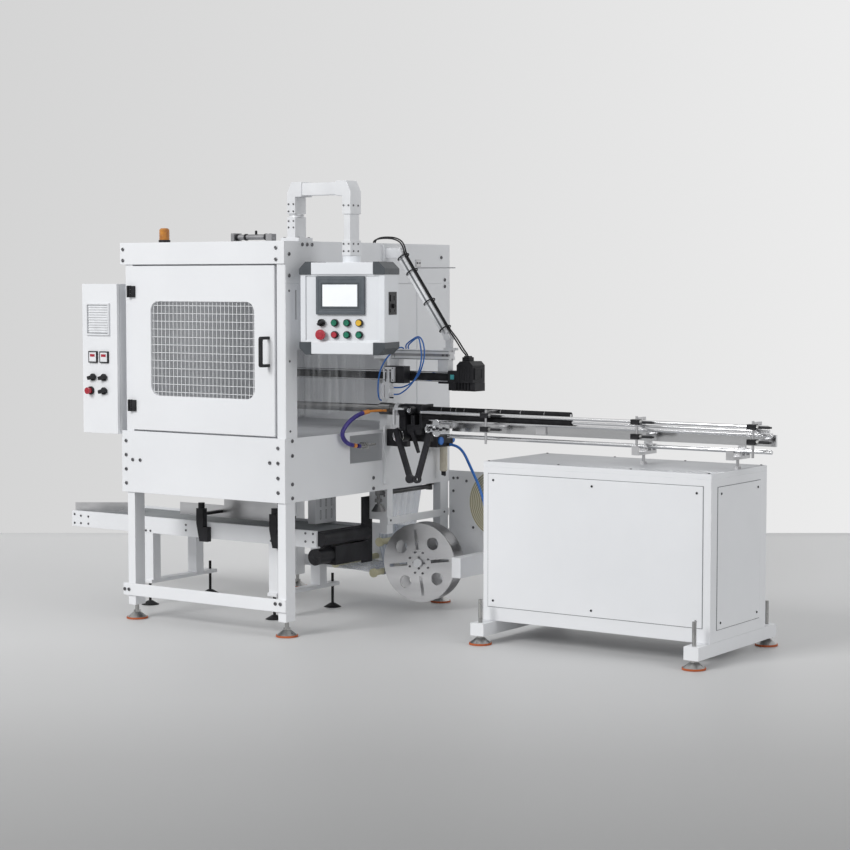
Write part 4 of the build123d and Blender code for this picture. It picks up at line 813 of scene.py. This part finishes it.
def cabinetControls():
    half = controls["half"]
    housings = []
    faces = []
    digits = []
    y = cabinetFront
    for x, z in controls["controllers"]:
        housings.append(softCube(
            (x - half, y - 8, z - half), (x + half, y, z + half), (front, 4, 1.5), 1.5))
        faces.append(softCube(
            (x - half + 5, y - 8, z - half + 5), (x + half - 5, y - 6, z + half - 5), (front, 3, -0.6),
            0.5))
        digits.append(softCube((x - 13, y - 9.4, z + 1), (x + 13, y - 8, z + 12), (front, 1.5, 0.5), 0.4))
    keep("controllerHousings", housings, "blackPlastic")
    keep("controllerFaces", faces, "paperWhite")
    keep("controllerDigits", digits, "redCap")
    knobs = []
    for x, z in controls["selectors"]:
        knobs.append(softBarrel((x, y - 4, z), "y", 8, 15, (front, 3, 1), 1))
        lever = tiltedCube((-20, -14, -8), (20, 0, 8), math.radians(-14), place(x, y - 7, z))
        knobs.append(soften(lever, 3, 3))
    x, z = controls["stop"]
    knobs.append(softBarrel((x, y - 5, z), "y", 10, 17, (front, 4, 2), 1.2))
    keep("cabinetSelectors", knobs, "blackPlastic", instead="cabinet_controls")
    stem = barrel((x, y - 14, z), "y", 14, 12)
    cap = softBarrel((x, y - 24, z), "y", 8, 14, (front, 8, -1.6), 3, 4, 40)
    keep("cabinetStop", [stem, cap], "redCap", instead="cabinet_controls")


louvredGrille()
cabinetControls()
print("electrical cabinet fitted")


# Operator panel, built about its own middle and then turned into place
panel = {"x": 1064.0, "y": 150.0, "turn": 15.0, "face": -75.0, "half": 175.0}
screen = {"x": -8.0, "z": 1343.0, "bezelHalf": (100.0, 73.0), "rimHalf": (80.0, 50.0),
          "glassHalf": (72.0, 42.0)}


def onPanel(name, pieces, finish, instead=None):
    whole = joined(pieces)
    whole.rotation_euler.z = math.radians(panel["turn"])
    whole.location = place(panel["x"], panel["y"], 0)
    keep(name, [settle(whole)], finish, "panel", instead)


def screenCube(half, outer, inner):
    # A box about the screen's middle, between two distances in front of the panel's face
    return cubeBetween(
        (screen["x"] - half[0], panel["face"] - outer, screen["z"] - half[1]),
        (screen["x"] + half[0], panel["face"] - inner, screen["z"] + half[1]), here)


def panelScreen():
    bezel = sinkFaces(screenCube(screen["bezelHalf"], 5, -6), front, 13, 0.8)
    bezel = soften(sinkFaces(bezel, front, 0.8, -0.8), 1.2)
    onPanel("screenBezel", [bezel], "bezelGrey", "hmi_screen")
    rim = soften(sinkFaces(screenCube(screen["rimHalf"], 5.8, 3.5), front, 5, 1.2), 0.6)
    onPanel("screenRim", [rim], "slateCasting", "hmi_screen")
    glass = soften(sinkFaces(screenCube(screen["glassHalf"], 6.2, 4.4), front, 2, 0.3), 0.5)
    onPanel("screenGlass", [glass], "displayGlass", "hmi_screen")


buttonColumns = (-87.0, -32.0, 19.0, 70.0)
buttonRows = {"top": 1238.0, "bottom": 1192.0}
buttonCaps = {
    "greenCap": [("top", 1), ("top", 2), ("bottom", 2), ("bottom", 3)],
    "redCap": [("bottom", 1)],
    "yellowCap": [("top", 3)],
}


def panelButtons():
    seat = panel["face"] + 6
    rings = [
        softBarrel((x, seat - 6, z), "y", 12, 14.5, (front, 3, 3), 1, sides=36, spot=here)
        for z in buttonRows.values() for x in buttonColumns]
    leverSpot = here(buttonColumns[0], seat - 10, buttonRows["top"])
    lever = tiltedCube((-15, -12, -5.5), (15, 0, 5.5), math.radians(-32), leverSpot)
    rings.append(soften(lever, 3, 3))
    onPanel("buttonRings", rings, "blackPlastic", "hmi_buttons")
    for finish, spots in buttonCaps.items():
        caps = [
            softBarrel(
                (buttonColumns[column], seat - 12, buttonRows[row]), "y", 9, 11, (front, 3.5, 0.7),
                1.8, 3, 36, here)
            for row, column in spots]
        onPanel(finish.replace("Cap", "Buttons"), caps, finish, "hmi_buttons")
    x = buttonColumns[0]
    z = buttonRows["bottom"]
    stem = barrel((x, seat - 10, z), "y", 12, 10, spot=here)
    cap = softBarrel((x, seat - 17, z), "y", 10, 20, (front, 8, -1.8), 3.2, 4, 44, here)
    onPanel("panelStop", [stem, cap], "redCap", "hmi_buttons")


def portPlate():
    side = panel["half"]
    plate = softCube((side, -33, 1269), (side + 2.5, 50, 1357), (right, 5, 0.8), 0.8, spot=here)
    socket = softCube((side + 1, -20, 1320), (side + 5, 22, 1346), (right, 4, 2), 0.8, spot=here)
    latch = softBarrel((side + 5, 8, 1303), "x", 10, 9, (right, 3, 2), 0.8, spot=here)
    inlet = softCube((side + 1, -22, 1278), (side + 4, 26, 1292), (right, 2, 1.5), 0.8, spot=here)
    onPanel("panelPort", [plate, socket, latch, inlet], "blackPlastic")


panelScreen()
panelButtons()
portPlate()
print("operator panel fitted")


# Suspension arm: clamp screws of its castings
armPlace = {"front": 115.0, "right": 1095.0, "top": 1569.0}
armScrews = {"base": (793, 817), "drop": (1063, 1087), "side": (135, 165),
             "dropHeights": (1542, 1514, 1690)}
screwsAt("armBaseScrews", "front", armPlace["front"], 4.0, crossed(armScrews["base"], (1634, 1609)))
screwsAt("armElbowScrews", "front", armPlace["front"], 4.0, crossed(armScrews["base"], (1700, 1672)), "arm")
screwsAt("armDropScrews", "front", armPlace["front"], 4.0,
         crossed(armScrews["drop"], armScrews["dropHeights"]), "arm")
screwsAt("armSideScrews", "right", armPlace["right"], 4.0,
         crossed(armScrews["side"], armScrews["dropHeights"]), "arm")
screwsAt("armFootScrews", "top", armPlace["top"], 5.0, crossed((771, 839), (116, 184)))
print("arm fitted")


# Linear axis: belt, bright edge lines and the coupling's insert
axisPlace = {"left": 406.0, "right": 1189.0, "front": 646.0, "edges": (991.5, 1025.5), "belt": (999, 1021)}


def axisTrim():
    y = axisPlace["front"]
    low, high = axisPlace["belt"]
    belt = softCube(
        (axisPlace["left"], y + 1.2, low), (axisPlace["right"], y + 2.8, high), (front, 4, 0.6), 0.4)
    keep("axisBelt", [belt], "blackRubber")
    edges = [
        softCube((axisPlace["left"], y - 0.35, z), (axisPlace["right"], y + 0.8, z + 3),
                 (front, 0.8, 0.2), 0.2)
        for z in axisPlace["edges"]]
    keep("axisEdgeLines", edges, "polishedSteel")
    insert = softCube((1203, 644.5, 1001), (1221, 647, 1020), (front, 2, 0.8), 0.8)
    keep("couplingInsert", [insert], "cyanPlastic")


def motorTrim():
    plug = softCube((1256, 652, 1070), (1290, 688, 1092), (up, 5, -5), 1.5)
    ribs = [
        soften(cubeBetween((x, 621.4, 998), (x + 5, 624, 1052)), 0.8)
        for x in (1258, 1270, 1282, 1294, 1306)]
    box = softCube((1318, 634, 1002), (1331, 690, 1050), (right, 6, 2), 1.5)
    keep("motorTrim", [plug, *ribs, box], "blackPlastic")


strut = {"low": (1172.0, 1184.0), "high": (944.0, 1505.0), "half": 15.0, "y": 670.0, "slot": 176.0}
strutTurn = math.atan2(strut["high"][0] - strut["low"][0], strut["high"][1] - strut["low"][1])


def alongStrut(x, share):
    # A place on the strut's middle line, moved outwards by x
    lowX, lowZ = strut["low"]
    highX, highZ = strut["high"]
    middleX = lowX + (highX - lowX) * share
    middleZ = lowZ + (highZ - lowZ) * share
    return middleX + x * math.cos(strutTurn), middleZ - x * math.sin(strutTurn)


def strutTrim():
    # Slots of the extrusion as thin plates with painted shade, dark against its rails, and the pivots at
    # both ends
    slots = []
    for out, y, size, way in (
        (0, strut["y"] - strut["half"], (4, 0.5), front), (strut["half"], strut["y"], (0.5, 4), right),
    ):
        slot = cubeBetween((-size[0], -size[1], -strut["slot"]), (size[0], size[1], strut["slot"]), here)
        sinkFaces(slot, way, 1.2, 0.2)
        slot.rotation_euler.y = strutTurn
        x, z = alongStrut(out, 0.5)
        slot.location = place(x, y, z)
        slots.append(settle(slot))
    keep("strutSlots", slots, "seamGrey")
    pivots = []
    for share in (-0.02, 1.01):
        x, z = alongStrut(0, share)
        pivots.append(softBarrel((x, strut["y"] - 16, z), "y", 6, 9, (front, 4, 2), 1))
    keep("strutPivots", pivots, "dullSteel")


def beamTrim():
    slot = softCube((906, 649.3, 1092), (1190, 650.6, 1103), (front, 2, 0.5), 0.2)
    keep("beamSlot", [slot], "dullSteel")
    lines = [
        softCube((906, 649.5, z), (1192, 650.4, z + 2.4), (front, 0.6, 0.2), 0.2, 1)
        for z in (1079.5, 1112.5)]
    lines += [
        softCube((x, 648.9, 1084), (x + 2, 650.2, 1112), (front, 0.5, 0.2), 0.2, 1)
        for x in (908, 921)]
    keep("beamLines", lines, "seamGrey")


def strutTies():
    ties = []
    for share in (0.06, 0.4, 0.78, 0.97):
        x, z = alongStrut(3, share)
        deselect()
        bpy.ops.mesh.primitive_torus_add(
            major_radius=0.0245, minor_radius=0.0028, major_segments=28, minor_segments=8,
            location=place(x, strut["y"], z), rotation=(0, strutTurn, 0),
        )
        ties.append(settle(bpy.context.object))
        tailSpot = (x + 24, strut["y"] - 12, z + 14)
        ties.append(softBarrel(tailSpot, "x", 24, 1.4, (right, 0.4, -0.6), 0.2, sides=10))
    keep("cableTies", ties, "blackPlastic")


def gripperTrim():
    # Slots of the two finger cylinders and the dark band at their foot
    marks = []
    for x in (921, 944):
        marks.append(((x - 2.5, 587.9, 984), (x + 2.5, 589.5, 1026)))
        marks.append(((x - 5, 587.9, 1032), (x + 5, 589.5, 1037)))
    marks.append(((897, 587.4, 919), (960, 590.5, 925)))
    made = [softCube(low, high, (front, 0.8, 0.4), 0.3, 1) for low, high in marks]
    keep("gripperSlots", made, "blackAnodised", "carriage")


strutTrim()
beamTrim()
axisTrim()
motorTrim()
gripperTrim()
strutTies()
screwsAt("carriageScrews", "front", 588.5, 2.6, crossed((914, 956), (994, 1042)), "carriage")
screwsAt("beamScrews", "front", 650, 5.0, [(1184, 1098), (1164, 1098)])
print("axis fitted")


# Clamp knobs on the rod posts
clampKnobs = {"posts": (1415.0, 2096.0, 2579.0), "heights": (866.0, 811.0), "y": 584.0}


def rodClamps():
    knobs = []
    nuts = []
    y = clampKnobs["y"]
    for x, z in crossed(clampKnobs["posts"], clampKnobs["heights"]):
        knobs.append(softCube((x - 20, y - 15, z - 10), (x + 16, y + 9, z + 10), (front, 5, 2), 3, 3))
        knobs.append(softBarrel((x + 42, y - 4, z), "x", 52, 5, (right, 1.5, -8), 1, sides=20))
        nuts.append(softBarrel((x + 20, y - 4, z), "x", 9, 9, (right, 3, -2), 0.8, sides=6))
    keep("rodClampKnobs", knobs, "blackPlastic")
    keep("rodClampNuts", nuts, "nickelPlate")


rodClamps()


# Segmented coolant arm beside the feed head
coolantArm = {
    "line": [
        (905, 602, 866), (893, 568, 868), (882, 520, 866), (880, 462, 858), (880, 405, 838),
        (880, 360, 810), (880, 342, 780), (880, 366, 750), (880, 412, 733), (880, 458, 728),
    ],
    "segments": 26,
    "radius": 9.0,
    "slim": 5,
    "orange": 7,
}


def segmentedArm():
    curve = cordCurve("armLine", coolantArm["line"], 0, finishes["violetPlastic"])
    line = bpy.data.meshes.new_from_object(curve)
    spots = [Vector(spot.co) for spot in line.vertices]
    bpy.data.objects.remove(curve)
    violet = []
    orange = []
    count = coolantArm["segments"]
    for step in range(count):
        share = step / (count - 1) * (len(spots) - 1)
        lower = min(int(share), len(spots) - 2)
        along = (spots[lower + 1] - spots[lower]).normalized()
        radius = coolantArm["radius"] * (0.55 if step < coolantArm["slim"] else 1.0)
        bead = softBarrel((0, 0, 0), "z", 17, radius, (up, radius * 0.25, -3), 2, sides=18, spot=here)
        bead.rotation_euler = along.to_track_quat("Z", "Y").to_euler()
        bead.location = spots[lower].lerp(spots[lower + 1], share - lower)
        isOrange = step < coolantArm["orange"] or step == count - 2
        (orange if isOrange else violet).append(settle(bead))
    keep("coolantArmLinks", violet, "violetPlastic")
    keep("coolantArmNozzle", orange, "orangePlastic")
    valve = softBarrel((880, 482, 727), "y", 36, 11, (front, 3, 3), 1, sides=24)
    seat = softCube((860, 490, 714), (884, 520, 740), (right, 5, 2), 1)
    stem = softBarrel((876, 545, 728), "y", 60, 5, (back, 1.5, -3), 1, sides=20)
    keep("coolantValve", [valve, seat, stem], "nickelPlate")


segmentedArm()
print("clamps and coolant arm fitted")


# Clear film curtain inside the feed side opening
curtain = {"x": 838.0, "front": 86.0, "back": 560.0, "low": 868.0, "high": 1126.0, "wave": 5.0,
           "ripples": (74, 141), "drift": (1.7, 2.3)}


def filmCurtain():
    deselect()
    width = (curtain["back"] - curtain["front"]) * millimetre
    height = (curtain["high"] - curtain["low"]) * millimetre
    middleY = (curtain["front"] + curtain["back"]) / 2
    middleZ = (curtain["low"] + curtain["high"]) / 2
    bpy.ops.mesh.primitive_grid_add(
        x_subdivisions=24, y_subdivisions=70, size=1, location=place(curtain["x"], middleY, middleZ),
        rotation=(0, math.pi / 2, 0))
    sheet = bpy.context.object
    sheet.scale = (height, width, 1)
    settle(sheet)
    top = curtain["high"] * millimetre
    broad, fine = curtain["ripples"]
    slow, quick = curtain["drift"]
    for spot in sheet.data.vertices:
        drop = (top - spot.co.z) / height
        ripple = math.sin(spot.co.y * broad + drop * slow) + 0.5 * math.sin(spot.co.y * fine - drop * quick)
        spot.co.x += curtain["wave"] * millimetre * ripple * (0.25 + 0.75 * drop)
    activate(sheet)
    bpy.ops.object.shade_smooth()
    sheet = keep("filmCurtain", [sheet], "curtainFilm")
    rail = softCube((826, 84, 1126), (856, 562, 1134), (down, 5, 3), 0.8)
    keep("curtainRail", [rail], "clearAnodised")


filmCurtain()


# Table drive: vents in the box and the fan cover on the motor
vents = {"x": 604.0, "columns": (560.0, 598.0, 636.0), "rows": ((400.0, 438.0), (452.0, 484.0))}


def driveTrim():
    x = vents["x"]
    slots = [
        softCube((x - 0.5, y - 4, low), (x + 0.6, y + 4, high), (right, 1.2, 0.7), 0.3)
        for y in vents["columns"] for low, high in vents["rows"]]
    keep("boxVents", slots, "blackPlastic")
    cover = softBarrel((741, 343, 273), "y", 6, 34, (front, 4, 1.5), 1.2, sides=40)
    cross = [
        soften(tiltedCube((-30, -1.4, -1.5), (30, 1.4, 1.5), math.radians(turn), place(741, 341, 273)),
               0.5, 1)
        for turn in (0, 45, 90, 135)]
    keep("fanCover", [cover, *cross], "blackPlastic")


driveTrim()


# Reel: two rings of hub bolts
reelPlace = {"x": 898.0, "y": 897.0, "z": 206.0, "yaw": 8.0, "front": -45.0,
             "rings": ((24, 4, 0), (47, 8, 22))}


def reelTrim():
    bolts = []
    for ring, count, start in reelPlace["rings"]:
        for step in range(count):
            turn = math.radians(start + 360 / count * step)
            spot = (ring * math.cos(turn), reelPlace["front"] - 2.5, ring * math.sin(turn))
            bolts.append(softBarrel(spot, "y", 5, 5, (front, 1.6, -1), 0.5, sides=6, spot=here))
    whole = joined(bolts)
    whole.rotation_euler.z = math.radians(reelPlace["yaw"])
    whole.location = place(reelPlace["x"], reelPlace["y"], reelPlace["z"])
    keep("reelBolts", [settle(whole)], "boltSteel", "reel")


reelTrim()


# Regulator: dark body, blue knob, beige bowl
regulator = {"x": 905.0, "y": 1017.0, "z": 716.0, "bowlY": 1037.3, "wall": 860.0}


def regulatorTrim():
    x = regulator["x"]
    y = regulator["y"]
    z = regulator["z"]
    bowlY = regulator["bowlY"]
    body = softCube((x - 21, y - 61, z - 25), (x + 21, y + 61, z + 25), (right, 8, 2), 4, 3)
    bracket = soften(cubeBetween((regulator["wall"], y - 31, z - 25), (x - 20, y + 31, z + 25)), 1)
    outlet = soften(barrel((x + 27, bowlY, z - 17), "x", 13, 8, 24), 1)
    tip = soften(barrel((x, bowlY, z - 140), "z", 22, 10, 24), 3, 3)
    keep("regulatorBody", [body, bracket, outlet, tip], "blackPlastic",
         instead="filter_regulator")
    bowl = softBarrel((x, bowlY, z - 77), "z", 104, 17, (down, 3, -4), 3, 3, 40)
    keep("regulatorBowl", [bowl], "beigeBowl", instead="filter_regulator")
    knob = softBarrel((x, y + 74, z), "y", 26, 15, (back, 4, 1.5), 1.5, sides=24)
    keep("regulatorKnob", [knob], "blueHose", instead="filter_regulator")
    gauge = softBarrel((x + 24, y - 36, z + 2), "x", 8, 17, (right, 2.5, 1.2), 1, sides=36)
    keep("regulatorGauge", [gauge], "blueHose")


regulatorTrim()


# Feed head: cheeks, saddle, bright link plate, pressure roller and tilting lever
feedBlocks = {
    "bracket": ((872, 664, 715), (973, 692, 785)),
    "rear": ((973, 640, 742), (1090, 690, 890)),
    "cheek": ((980, 600, 752), (1012, 640, 866)),
    "link": ((1012, 610, 772), (1078, 640, 812)),
    "end": ((1078, 606, 800), (1090, 690, 896)),
    "neck": ((1030, 612, 812), (1050, 640, 852)),
}
feedRounds = {
    "saddle": ((1032, 648, 872), "x", 112, 24, 48, right),
    "cheekTop": ((996, 618, 868), "y", 44, 17, 36, front),
    "cheekFoot": ((992, 606, 768), "y", 52, 27, 40, front),
    "rollerHub": ((1040, 604, 872), "y", 30, 15, 36, front),
}
feedLobes = {
    "upper": ((1197, 553, 826), 6, 17, 32),
    "lower": ((1198, 553, 790), 6, 17, 32),
    "end": ((1158, 553, 802), 6, 15, 32),
    "pin": ((1158, 558, 798), 14, 7, 24),
}
feedTips = ((1172, 810), (1186, 803), (1204, 807), (1220, 803), (1236, 809), (1252, 805))


def feedLever():
    # A lever that narrows towards its foot
    lever = cubeBetween((-9, -6, -52), (9, 6, 40), here)
    pickFaces(lever, down)
    bpy.ops.transform.resize(value=(0.55, 1, 1))
    bpy.ops.object.mode_set(mode="OBJECT")
    soften(sinkFaces(lever, front, 3, 1.5), 2)
    lever.rotation_euler.y = math.radians(-20)
    lever.location = place(1056, 606, 748)
    return settle(lever)


def feedHead():
    dark = [softCube(low, high, (front, 5, 2), 3, 3) for low, high in feedBlocks.values()]
    dark += [
        softBarrel(middle, axis, length, radius, (way, 4, 2), 2, sides=sides)
        for middle, axis, length, radius, sides, way in feedRounds.values()]
    keep("feedHeadBody", [*dark, feedLever()], "blackAnodised", instead="feed_head")
    bright = [
        softBarrel((992, 578, 768), "y", 4, 27, (front, 1.5, 0.8), 0.6, sides=40),
        softBarrel((1040, 587, 872), "y", 6, 9, (front, 1.5, 0.8), 0.6, sides=28),
        softCube((1150, 550, 792), (1262, 555, 822), (front, 2, 1), 0.6),
    ]
    bright += [
        softBarrel(middle, "y", length, radius, (front, 2, 1), 0.6, sides=sides)
        for middle, length, radius, sides in feedLobes.values()]
    keep("feedHeadLinks", bright, "polishedSteel")
    angle = [
        softCube((958, 586, 812), (966, 598, 880), (front, 1.5, 0.8), 0.8),
        softCube((958, 586, 873), (1008, 598, 881), (front, 1.5, 0.8), 0.8),
    ]
    keep("feedHeadAngle", angle, "paperWhite")
    tips = [softBarrel((x, 548, z), "y", 5, 5.4, (front, 1.2, 0.8), 0.6, sides=18) for x, z in feedTips]
    keep("feedHeadTips", tips, "blackAnodised")
    collar = softBarrel((952, 640, 872), "x", 18, 26, (left, 5, 2), 2, sides=44)
    keep("tubeCollar", [collar], "paperWhite")


feedHead()


# Feed cabinet: white rim with a grey sheet on top, and the shadow lines round its covers
feedCase = {"left": 1529.0, "right": 2509.0, "front": 392.0, "back": 854.0, "low": 683.0, "top": 703.0}


def feedCaseTrim():
    rim = softCube(
        (feedCase["left"], feedCase["front"], feedCase["low"]),
        (feedCase["right"], feedCase["back"], feedCase["top"] - 0.4), (up, 4, 0.4), 1.2)
    keep("feedRim", [rim], "whitePowderCoat", instead="feed_cabinet_top")
    sheet = softCube(
        (feedCase["left"] + 3, feedCase["front"] + 3, feedCase["top"] - 1.4),
        (feedCase["right"] - 3, feedCase["back"] - 3, feedCase["top"]), (up, 6, -0.1), 0.3)
    keep("feedSheet", [sheet], "greyPowderCoat", instead="feed_cabinet_top")
    facing = sinkFaces(cubeBetween((1550.2, 390.8, 137.2), (2478.2, 392.6, 658.2)), front, 4, 0.4)
    ending = sinkFaces(cubeBetween((2508.4, 441.2, 127.2), (2510.4, 797.2, 653.2)), right, 4, 0.4)
    keep("coverShadowLines", [facing, ending], "seamGrey")


feedCaseTrim()


# Door mesh: welded wires behind the window
meshPlace = {"left": 165.3, "right": 707.8, "low": 933.3, "high": 1315.8, "y": 9.5, "columns": 26,
             "rows": 12, "radius": 1.3, "sides": 8}


def doorMesh():
    width = meshPlace["right"] - meshPlace["left"]
    height = meshPlace["high"] - meshPlace["low"]
    middleX = (meshPlace["left"] + meshPlace["right"]) / 2
    middleZ = (meshPlace["low"] + meshPlace["high"]) / 2
    upright = barrel((0, 0, 0), "z", height, meshPlace["radius"], meshPlace["sides"], here)
    uprights = copiesAt(sinkFaces(upright, up, 0.3, 0.2), [
        (meshPlace["left"] + width * (step + 0.5) / meshPlace["columns"], meshPlace["y"] - 1, middleZ)
        for step in range(meshPlace["columns"])])
    level = barrel((0, 0, 0), "x", width, meshPlace["radius"], meshPlace["sides"], here)
    levels = copiesAt(sinkFaces(level, right, 0.3, 0.2), [
        (middleX, meshPlace["y"] + 1, meshPlace["low"] + height * (step + 0.5) / meshPlace["rows"])
        for step in range(meshPlace["rows"])])
    wires = joined([uprights, levels])
    activate(wires)
    bpy.ops.object.shade_smooth_by_angle(angle=math.radians(60))
    keep("meshWires", [wires], "whiteWire", "door", "door_mesh")


doorMesh()


# Hinges with full leaves on the door and on the post
hingePlace = {"x": 60.0, "y": -6.0, "height": 48.0, "third": 15.0, "radius": 5.5, "lows": (865.0, 1332.0)}


def hinges():
    doorParts = []
    postParts = []
    x = hingePlace["x"]
    y = hingePlace["y"]
    third = hingePlace["third"]
    radius = hingePlace["radius"]
    for low in hingePlace["lows"]:
        high = low + hingePlace["height"]
        middle = (x, y, (low + high) / 2)
        length = hingePlace["height"] - 2 * third - 2
        doorParts += [
            softCube((x + 6.5, y - 4.5, low + 1), (84, 0, high - 1), (front, 2, 0.6), 1.6, 3),
            softCube((x, y, low + third + 1), (x + 10, 0, high - third - 1), (front, 1, 0.3), 0.4),
            softBarrel(middle, "z", length, radius, (up, 1, -0.4), 0.4, sides=28),
        ]
        postParts.append(softCube((44, y - 4.5, low), (x - 7, 0, high), (front, 2, 0.6), 1.6, 3))
        for start in (low, high - third):
            spot = (x, y, start + third / 2)
            postParts += [
                softBarrel(spot, "z", third, radius, (up, 1, -0.4), 0.4, sides=28),
                softCube((x - 10, y, start), (x, 0, start + third), (front, 1, 0.3), 0.4),
            ]
    keep("doorHingeLeaves", doorParts, "blackPlastic", "door", "door_hinges")
    keep("postHingeLeaves", postParts, "blackPlastic", "frame", "post_hinges")


hinges()


# Rear side plate: small bracket with two screws and the thin bar beside it
def rearTrim():
    plate = softCube((860, 890, 1460), (863, 928, 1490), (right, 3, -0.6), 0.6)
    bar = softCube((858, 900, 1452), (1055, 904, 1457), (front, 1, 0.4), 0.4)
    keep("rearBracket", [plate, bar], "brushedSteel")
    screwsAt("rearBracketScrews", "right", 863.6, 4.0, [(900, 1475), (918, 1475)])


rearTrim()


# Beacon ribs, roof cylinder's fittings, foam bands
def roofTrim():
    rings = [
        softBarrel((155, 100, z), "z", 2.4, 22, (up, 3, -0.4), 0.6, sides=40)
        for z in (1573, 1584, 1595)]
    keep("beaconRibs", rings, "amberLens")
    ends = [
        softBarrel((x, 100, 1573), "x", 9, 13.5, (right, 3, 1), 1.2, sides=28)
        for x in (548, 590, 692, 712)]
    ends.append(softBarrel((640, 100, 1590), "z", 14, 5, (up, 1.5, -2), 0.8, sides=18))
    keep("cylinderEnds", ends, "blackPlastic")


def foamBands():
    bands = [
        softBarrel((x, 670, 873), "x", 2.4, 13.5, (right, 1.5, 0.3), 0.3)
        for x in (1150, 1196, 1222, 1262, 1402, 1436, 1530, 1640)]
    keep("foamBands", bands, "dullSteel")


roofTrim()
foamBands()
print("small fittings done")
